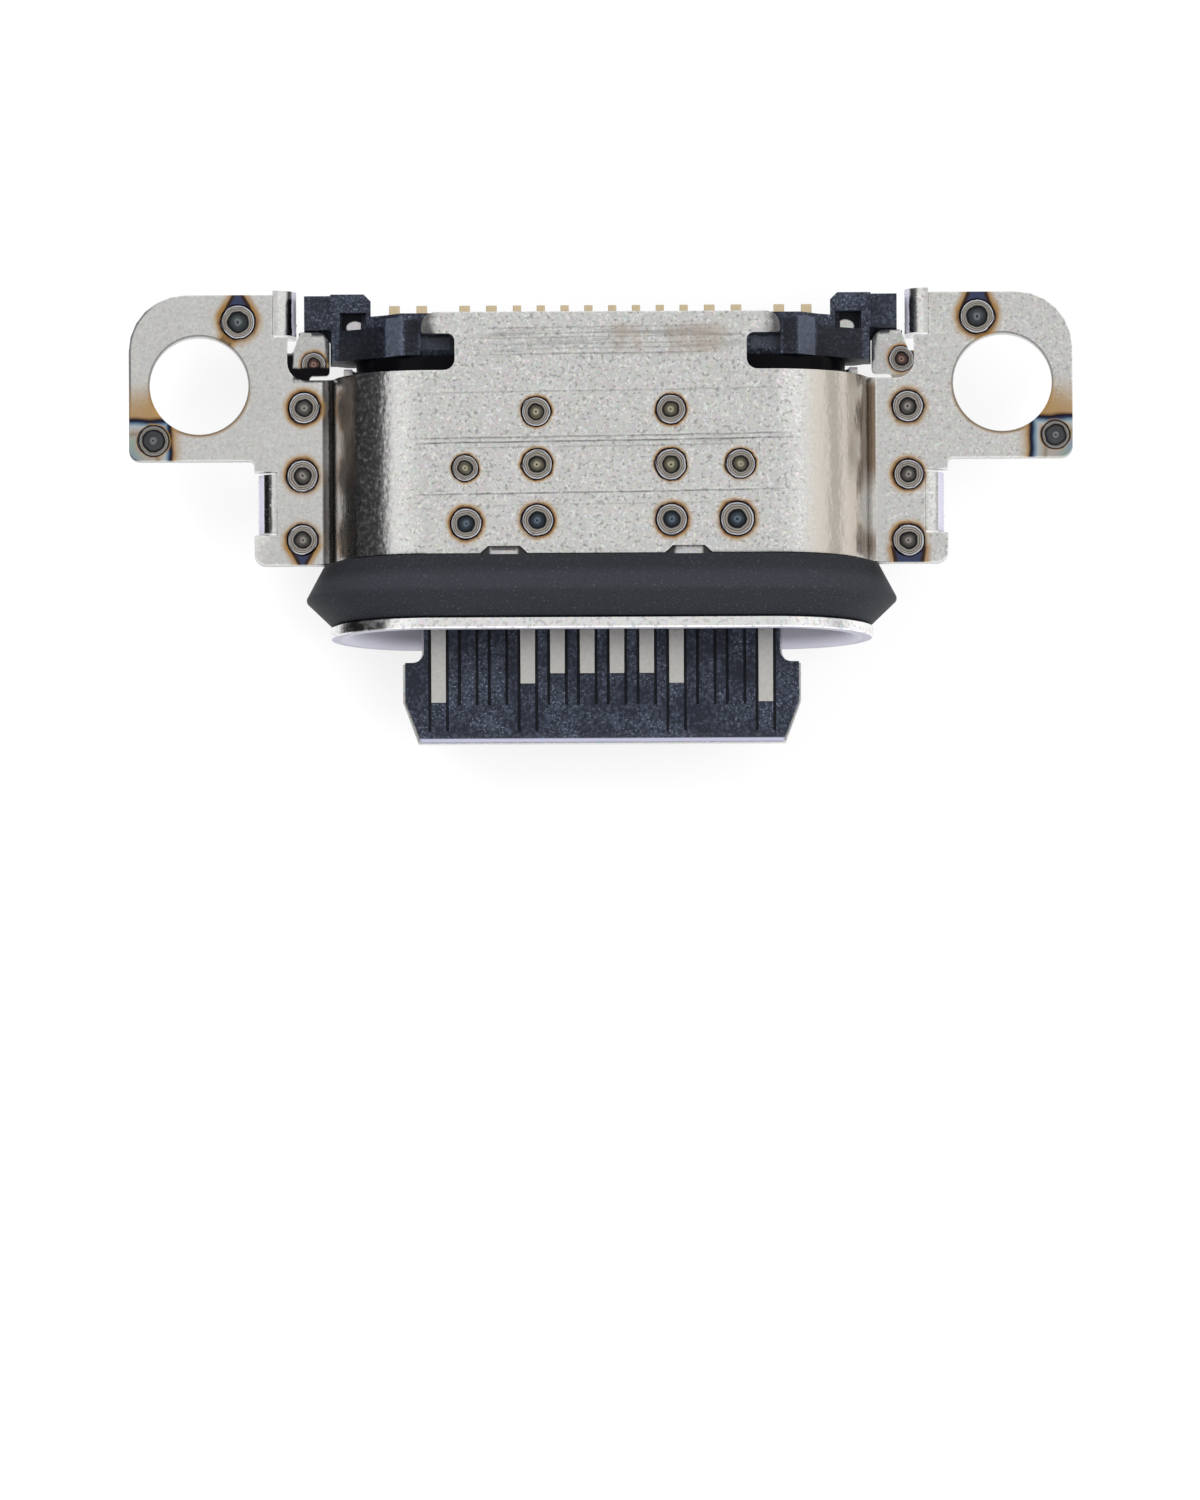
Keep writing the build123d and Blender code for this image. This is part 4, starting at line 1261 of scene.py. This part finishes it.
@dataclass
class Stub:
    """Strip that the part was broken from, bent down at an ear's edge."""

    start: float
    way: int
    front: float
    rear: float
    bend: float
    drop: float = 0.80
    flutes: int = 3
    flute_rise: float = 0.42
    flute_depth: float = 0.05
    crumble: float = 0.035
    width_cuts: int = 24
    bend_cuts: int = 8
    end_cuts: int = 6

    def __post_init__(self) -> None:
        """Work out the lengths of the flat strip and its bend."""
        self.arc = self.bend * math.pi / 2
        self.length = self.arc + self.drop - (self.bend - SHEET / 2)

    def build(self, side: int, seed: int) -> Form:
        """Make the stub on one side of the part.

        Args:
            side: 1 on the right, -1 on the left.
            seed: start of the crumbled edge's random draw.

        Returns:
            The stub as a closed form.
        """
        draw = random.Random(seed)
        wide = (self.rear - self.front) / self.width_cuts
        bent, high = self.arc / self.bend_cuts, self.flute_rise / self.end_cuts
        form = Form.rectangle((0, self.front), (self.length, self.rear))
        form.thicken(-SHEET / 2, SHEET / 2)
        form.slice((0, 1, 0), [self.front + wide * cut for cut in range(1, self.width_cuts)])
        form.slice((1, 0, 0), [bent * cut for cut in range(1, self.bend_cuts + 1)])
        form.slice((1, 0, 0), [self.length - high * cut for cut in range(1, self.end_cuts + 1)])
        form.reshape(lambda co: self.bent(co, side, draw))
        form.face_outwards()
        return form

    def bent(self, co: Vector, side: int, draw: random.Random) -> Vector:
        """Place of a point of the flat strip after bending and breaking.

        Args:
            co: the point in the flat strip.
            side: 1 on the right, -1 on the left.
            draw: random source of the crumbled edge.

        Returns:
            The bent place.
        """
        run, height = co.x, co.z
        near_end = max(0.0, 1 - (self.length - run) / self.flute_rise)
        turn = (co.y - self.front) / (self.rear - self.front) * self.flutes * math.tau
        if height > 0:
            height -= self.flute_depth * near_end * (0.5 - 0.5 * math.cos(turn))
        if self.length - run < TOUCH:
            run -= draw.random() * self.crumble
            height += (draw.random() - 0.5) * self.crumble
        lean = min(run / self.bend, math.pi / 2)
        x = (self.bend + height) * math.sin(lean)
        z = SHEET / 2 - self.bend * (1 - math.cos(lean)) - max(0.0, run - self.arc)
        return Vector((side * (self.start + self.way * x), co.y, z + height * math.cos(lean)))


@dataclass
class Bracket:
    """Folded half of the mounting bracket."""

    side: Side
    hat: Hat
    rows: tuple[Row, ...]
    right_edge: tuple[Place, ...]
    notches: tuple[float, ...]
    notch_width: float
    notch_depth: float
    front: float = -3.04
    edge_radius: float = 0.022
    lip_radius: float = 0.03
    notch_radius: float = 0.04
    window_radius: float = 0.10
    window: tuple[float, float, float] | None = None
    coined: tuple[float, ...] = ()
    coin_half: float = 0.030
    coin_depth: float = 0.020
    stubs: tuple[Stub, ...] = ()
    neck: Point | None = None
    screw_steps: int = 96
    spot_steps: int = 40

    def front_edge(self) -> list[Place]:
        """Corners of the notched front edge and of the window in it.

        Returns:
            X, Y and radius of each corner, from left to right.
        """
        front, lip = self.front, self.lip_radius
        dips = [(place, self.notch_width / 2, self.notch_depth, self.notch_radius, self.notch_depth)
                for place in self.notches]
        if self.window:
            place, width, depth = self.window
            dips.append((place, width / 2, depth, self.window_radius, 0))
        return [corner for place, half, depth, radius, slant in sorted(dips) for corner in (
            (place - half, front, lip), (place - half + slant, front + depth, radius),
            (place + half - slant, front + depth, radius), (place + half, front, lip))]

    def coins(self) -> list[float]:
        """Runs of the coined lines."""
        return [way * self.hat.run_at(place) for place in self.coined for way in (-1, 1)]

    def blank(self) -> Form:
        """Make the flat sheet with its holes, before folding.

        Returns:
            The sheet.
        """
        form, run_at = Form(), self.hat.run_at
        left_edge = [(-x, y, radius) for x, y, radius in self.right_edge]
        corners = (*reversed(left_edge), *self.right_edge, *reversed(self.front_edge()))
        form.outline([(run_at(x), y, radius) for x, y, radius in corners])
        for way in (-1, 1):
            form.circle((run_at(way * SCREW_PLACE), 0), SCREW_RADIUS, self.screw_steps)
        for mark in (mark for row in self.rows for mark in row.marks):
            form.circle((run_at(mark.x), mark.y), mark.radius, self.spot_steps, True)
        form.fill()
        form.thicken(-SHEET / 2, SHEET / 2)
        form.round_edges(self.edge_radius)
        form.dent(SPOT_RINGS, SHEET / 2)
        form.slice((1, 0, 0), self.hat.cuts())
        for run in self.coins():
            form.slice((1, 0, 0), (run - self.coin_half, run, run + self.coin_half))
        return form

    def build(self, material: bpy.types.Material, name: str, node: str) -> None:
        """Fold the sheet and put it in place.

        Args:
            material: finish of the sheet.
            name: name of the piece.
            node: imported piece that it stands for.
        """
        form, pressed = self.blank(), self.coins()

        def folded(co: Vector) -> Vector:
            """Folded place of a point of the blank.

            Args:
                co: the point.

            Returns:
                Its folded place.
            """
            height = co.z
            if height > SHEET / 2 - TOUCH and any(abs(co.x - run) < TOUCH for run in pressed):
                height -= self.coin_depth
            if self.neck and co.y > self.neck[1] and abs(co.x) < self.hat.fold_end:
                place = self.hat.level_neck(co.x, co.y, height, self.neck[0])
            else:
                place = self.hat.bent(co.x, co.y, height)
            place.z *= self.side.value
            return place

        form.reshape(folded)
        for number, stub in enumerate(self.stubs):
            for side in (-1, 1):
                form.take_in(stub.build(side, 7 * number + side + 3))
        form.face_outwards()
        form.become(name, Slot.BRACKET, material, node)


def upper_bracket() -> Bracket:
    """Size the bracket with the weld spots on its ears, the rear lug and the stubs.

    Returns:
        The bracket, ready to be built.
    """
    edge = (
        (3.02, 1.06, 0.26), (3.02, 0.69, 0.06), (2.46, 0.69, 0.12), (2.46, 0.08, 0.18),
        (5.265, 0.08, 0.30), (5.265, 0.81, 0), (5.51, 0.81, 0), (5.51, 1.53, 0),
        (7.93, 1.53, 0.95), (7.93, -1.27, 0.20), (5.83, -1.27, 0.08), (5.83, -1.47, 0),
        (5.45, -1.47, 0), (5.45, -2.54, 0), (5.83, -2.54, 0), (5.83, -3.04, 0.20),
    )
    stubs = (Stub(start=5.51, way=-1, front=0.85, rear=1.60, bend=0.31),
             Stub(start=5.45, way=1, front=-2.50, rear=-1.51, bend=0.22))
    return Bracket(Side.UPPER, Hat(0.16), UPPER_ROWS, edge, (-1.64, 1.47), 0.80, 0.13, stubs=stubs)


def lower_bracket() -> Bracket:
    """Size the bracket below, with necks, relief slots, window and coined folds.

    Returns:
        The bracket, ready to be built.
    """
    edge = (
        (4.32, 0.14, 0), (4.50, 0.03, 0), (4.89, 0.03, 0.06), (4.89, 0.17, 0.06),
        (4.54, 0.17, 0.08), (4.54, 0.92, 0.24), (5.04, 0.92, 0.05), (5.18, 0.56, 0.05),
        (5.88, 0.56, 0.50), (5.88, 1.53, 0.03), (7.93, 1.53, 0.95), (7.93, -1.27, 0.20),
        (5.83, -1.27, 0.08), (5.83, -1.46, 0), (5.42, -1.46, 0.09), (5.42, -2.55, 0.09),
        (5.83, -2.55, 0), (5.83, -3.04, 0.20),
    )
    return Bracket(Side.LOWER, Hat(0.45), (UNDER_ROWS,), edge, (1.64, -2.00), 0.94, 0.14,
                   window=(-0.17, 1.61, 0.94), coined=(4.82, 4.71), neck=(4.54, 0.16))


@dataclass
class DrawnShell:
    """Drawn oval tube with a flat rim round its mouth."""

    mouth: float = 1.28
    rim: float = 1.67
    rim_front: float = -4.30
    rim_back: float = -4.11
    lip: float = 0.185
    upper_rear: float = 0.06
    lower_rear: float = 0.28
    steps: int = 48

    def build(self, material: bpy.types.Material) -> None:
        """Make the shell.

        Args:
            material: finish of the shell.
        """
        form = Form()
        form.sweep_oval((
            (self.rim_front, self.rim, 0.035), (self.rim_back, self.rim, 0.025),
            (self.rim_back, SHELL_OUTER, 0.04), (self.lower_rear, SHELL_OUTER, 0.02),
            (self.lower_rear, self.mouth, 0.02), (self.rim_front, self.mouth, self.lip),
        ), SHELL_FLAT, self.steps)
        form.slice((0, 0, 1), (-0.01, 0.01))
        middle = (self.upper_rear + self.rim_back) / 2

        def cropped(co: Vector) -> Vector:
            """Place of a point once the rear end of the upper half is pulled forward.

            Args:
                co: the point.

            Returns:
                Its new place.
            """
            if co.z > 0.005 and co.y > middle:
                co.y -= self.lower_rear - self.upper_rear
            return co

        form.reshape(cropped)
        form.become("inner_shell_drawn", Slot.SHELL, material, "inner_shell")


@dataclass
class Seal:
    """Rubber ring with a V lip, and a tab in the lower window."""

    fit: float = 0.02
    rear: float = -3.06
    front: float = -4.09
    tip: float = -3.65
    rear_height: float = 0.34
    tip_height: float = 0.655
    front_height: float = 0.20
    tip_radius: float = 0.07
    tab_place: float = -0.17
    tab_width: float = 1.39
    tab_length: float = 0.79
    tab_root: float = 0.02
    tab_corner: float = 0.04
    tab_edge: float = 0.035
    edge: float = 0.03
    steps: int = 64

    def build(self, material: bpy.types.Material) -> None:
        """Make the seal.

        Args:
            material: finish of the rubber.
        """
        form, tab = Form(), Form()
        inner = SHELL_OUTER + self.fit
        form.sweep_oval((
            (self.rear, inner, 0), (self.rear, SHELL_OUTER + self.rear_height, self.edge),
            (self.tip, SHELL_OUTER + self.tip_height, self.tip_radius),
            (self.front, SHELL_OUTER + self.front_height, self.edge), (self.front, inner, 0),
        ), SHELL_FLAT, self.steps)
        left, right = (self.tab_place + way * self.tab_width / 2 for way in (-1, 1))
        root, end, corner = self.rear - self.tab_root, self.rear + self.tab_length, self.tab_corner
        tab.outline(((left, root, 0), (right, root, 0), (right, end, corner), (left, end, corner)))
        tab.fill()
        tab.thicken(-SHELL_OUTER - SHEET, -inner)
        tab.round_edges(self.tab_edge, 3)
        form.take_in(tab)
        form.become("seal_lip_ring", Slot.RUBBER, material, "seal_ring")


@dataclass
class Polished:
    """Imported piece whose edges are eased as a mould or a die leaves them."""

    node: str
    slot: Slot
    radius: float = 0.012
    angle: float = 35.0

    def build(self, material: bpy.types.Material) -> None:
        """Make the eased copy.

        Args:
            material: finish of the piece.
        """
        form = Form.from_node(self.node)
        form.round_edges(self.radius, angle=self.angle, clamp=True)
        form.become(f"{self.node}_eased", self.slot, material, self.node)


@dataclass
class Studio:
    """White table and background, soft lamps, a dark screen and the camera."""

    elevation: float = 83.3
    roll: float = 0.28
    frame_height: float = 25.21
    picture: Point = (1200.0, 1500.0)
    origin_pixel: Point = (600.7, 384.8)
    distance: float = 120.0
    table_reach: float = 400.0
    table_gap: float = 0.02
    screen_reach: float = 70.0
    screen_half: float = 60.0
    card_edge: float = -8.2
    card_level: float = 0.02
    card_gap: float = 0.01
    lamps: tuple[tuple[Place, float, float], ...] = (
        ((-30, 25, 60), 40.0, 0.030), ((35, -10, 55), 45.0, 0.022), ((0, -50, 30), 30.0, 0.010),
    )
    screens: tuple[tuple[str, int, float, float, float], ...] = (
        ("dark_screen", -1, -1.5, 36.0, 0.095), ("grey_screen", 1, 2.0, 20.0, 0.58),
    )
    hood_reach: float = 42.0
    hood_height: float = 100.0
    hood_level: float = 0.74
    hood_steps: int = 64

    def build(self) -> None:
        """Make everything that isn't part of the object."""
        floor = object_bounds()[0].z / MM
        self.world()
        self.table(floor - self.table_gap)
        hood = Form()
        hood.circle((0, 0), self.hood_reach, self.hood_steps, True)
        hood.shift((0, 0, self.hood_height))
        self.reflected(hood, "lens_hood", self.hood_level)
        for screen in self.screens:
            self.screen(*screen)
        card = Form.rectangle((-self.screen_reach, -self.screen_half),
                              (self.card_edge, self.screen_half), floor - self.card_gap)
        self.reflected(card, "dark_card", self.card_level)
        for place, size, power in self.lamps:
            self.lamp(place, size, power)
        self.camera()
        bpy.context.scene.view_settings.view_transform = "Standard"

    @staticmethod
    def world() -> None:
        """White background for the camera and reflections, softer light elsewhere."""
        shader = Shader(bpy.data.worlds.new("studio"))
        seen = reduce(Value.most, (shader.node("LightPath", {}, {}, f"Is {ray} Ray")
                                   for ray in ("Camera", "Glossy", "Transmission")))
        level = shader.node("MapRange", {}, {0: seen, 3: 0.75, 4: 1.0})
        background = {"Color": (1.0, 1.0, 1.0, 1.0), "Strength": level}
        bpy.context.scene.world = shader.close(shader.node("Background", {}, background), "World")

    def table(self, level: float) -> None:
        """White table that keeps a faint shadow of the object.

        Args:
            level: height of its top.
        """
        shader = Shader.named("white_table")
        diffuse = shader.node("BsdfDiffuse", {}, {"Color": (0.9, 0.9, 0.92, 1)})
        seen, mirrored = (shader.node("LightPath", {}, {}, f"Is {ray} Ray")
                          for ray in ("Camera", "Glossy"))
        share = seen * 0.72 + mirrored * 0.85
        mixed = shader.node("MixShader", {}, {0: share, 1: diffuse, 2: shader.glow((1, 1, 1))})
        reach = self.table_reach
        form = Form.rectangle((-reach, -reach), (reach, reach), level)
        form.place("table", shader.close(mixed))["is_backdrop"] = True

    def screen(self, name: str, side: int, low: float, high: float, level: float) -> None:
        """Screen beside the part that shades its curved walls.

        Args:
            name: name of the screen.
            side: 1 on the right, -1 on the left.
            low: elevation of its lower edge in degrees.
            high: elevation of its upper edge in degrees.
            level: how bright it is.
        """
        def stand(co: Vector) -> Vector:
            """Upright place of a point of the screen.

            Args:
                co: the point, with its share of the height in X.

            Returns:
                Its upright place.
            """
            lean = math.radians(low + (high - low) * co.x)
            x, z = side * self.screen_reach * math.cos(lean), self.screen_reach * math.sin(lean)
            return Vector((x, co.y, z))

        form = Form.rectangle((0, -self.screen_half), (1, self.screen_half))
        form.reshape(stand)
        self.reflected(form, name, level)

    @staticmethod
    def reflected(form: Form, name: str, level: float) -> None:
        """Stage object that only shows in reflections.

        Args:
            form: its form.
            name: its name.
            level: how bright it is.
        """
        shader = Shader.named(name)
        thing = form.place(name, shader.close(shader.glow((level, level, level))))
        thing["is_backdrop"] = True
        thing.visible_camera = thing.visible_diffuse = False
        thing.visible_shadow = thing.visible_transmission = False

    @staticmethod
    def lamp(place: Place, size: float, power: float) -> None:
        """Soft square lamp aimed at the object.

        Args:
            place: where it hangs, in millimetres.
            size: width of the lamp in millimetres.
            power: power in watts.
        """
        data = bpy.data.lights.new("soft_lamp", "AREA")
        data.shape, data.size, data.energy = "SQUARE", size * MM, power
        lamp = bpy.data.objects.new("soft_lamp", data)
        lamp.location = Vector(place) * MM
        lamp.rotation_euler = (-Vector(place)).to_track_quat("-Z", "Y").to_euler()
        lamp.visible_glossy = False
        bpy.context.scene.collection.objects.link(lamp)

    def camera(self) -> None:
        """Long-lens camera at the photograph's viewing angle."""
        data = bpy.data.cameras.new("camera")
        data.type, data.sensor_fit = "ORTHO", "VERTICAL"
        data.ortho_scale = self.frame_height * MM
        data.clip_start, data.clip_end = 0.001, 1.0
        lift = math.radians(self.elevation)
        back = Vector((0, -math.cos(lift), math.sin(lift)))
        aim = (-back).to_track_quat("-Z", "Y").to_matrix()
        aim = aim @ Matrix.Rotation(math.radians(-self.roll), 3, "Z")
        scale = self.frame_height / self.picture[1]
        right = (self.picture[0] / 2 - self.origin_pixel[0]) * scale
        up = (self.origin_pixel[1] - self.picture[1] / 2) * scale
        camera = bpy.data.objects.new("camera", data)
        camera.location = (back * self.distance + aim @ Vector((right, up, 0))) * MM
        camera.rotation_euler = aim.to_euler()
        bpy.context.scene.collection.objects.link(camera)
        bpy.context.scene.camera = camera


def main() -> None:
    """Build the looks of the port."""
    logging.basicConfig(level=logging.INFO, format="%(name)s: %(message)s")
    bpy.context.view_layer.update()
    upper_lines = (
        (-1.05, 3.0, 0.55), (-1.13, 3.0, 0.75), (-1.22, 2.3, 0.30), (-2.00, 2.9, 0.65),
        (-2.20, 2.6, 0.25), (-0.28, 2.8, 0.30), (0.35, 1.8, 0.42), (0.44, 1.5, 0.28),
        (0.52, 1.7, 0.38), (0.63, 1.9, 0.34), (0.70, 1.2, 0.26), (0.80, 1.8, 0.30),
    )
    lower_lines = (
        (-0.95, 2.9, 0.50), (-1.04, 2.7, 0.60), (-1.16, 2.9, 0.42), (-1.96, 2.8, 0.42),
        (-2.05, 2.4, 0.30), (-0.22, 2.8, 0.34),
    )
    upper_steel = NickelFinish("upper_bracket_nickel", UPPER_ROWS,
                               tuple(Scratch(*line) for line in upper_lines), burnt_and_shaded=True).build()
    lower_steel = NickelFinish("lower_bracket_nickel", (UNDER_ROWS, NECK_SPOTS),
                               tuple(Scratch(*line) for line in lower_lines),
                               colour=(0.61, 0.61, 0.595), slant=-0.006).build()
    upper_bracket().build(upper_steel, "upper_bracket_folded", "upper_bracket")
    lower_bracket().build(lower_steel, "lower_bracket_folded", "lower_bracket")
    DrawnShell().build(PlainSteelFinish("shell_nickel", Kind.SHELL).build())
    Seal().build(RubberFinish("seal_rubber").build())
    plastic = MouldedFinish(
        "housing_plastic", ((3.31, 3.62, 0.30, 1.03), (2.52, 3.05, 0.48, 0.70)),
        ((3.62, 4.42, 0.20, 0.92), (3.05, 3.31, 0.20, 1.00), (2.40, 3.05, 0.70, 0.95)),
    ).build()
    tongue_plastic = MouldedFinish("tongue_plastic", tip_highlight=0.75, groove_shade=0.85).build()
    plate_steel = PlainSteelFinish("plate_steel", Kind.PLATE, roughness=0.19).build()
    plating = PlatingFinish("contact_plating").build()
    Polished("rear_housing", Slot.HOUSING).build(plastic)
    Polished("tongue_body", Slot.TONGUE, 0.008).build(tongue_plastic)
    Polished("rear_sealant", Slot.SEALANT, 0.03).build(SealantFinish("sealing_glue").build())
    for node in ("midplate", "upper_ground_plate", "lower_ground_plate"):
        Polished(node, Slot.PLATE, 0.010).build(plate_steel)
    for node in sorted(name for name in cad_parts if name.startswith("contact_")):
        Polished(node, Slot.PLATING, 0.010).build(plating)
    Studio().build()


if __name__ == "__main__":
    main()
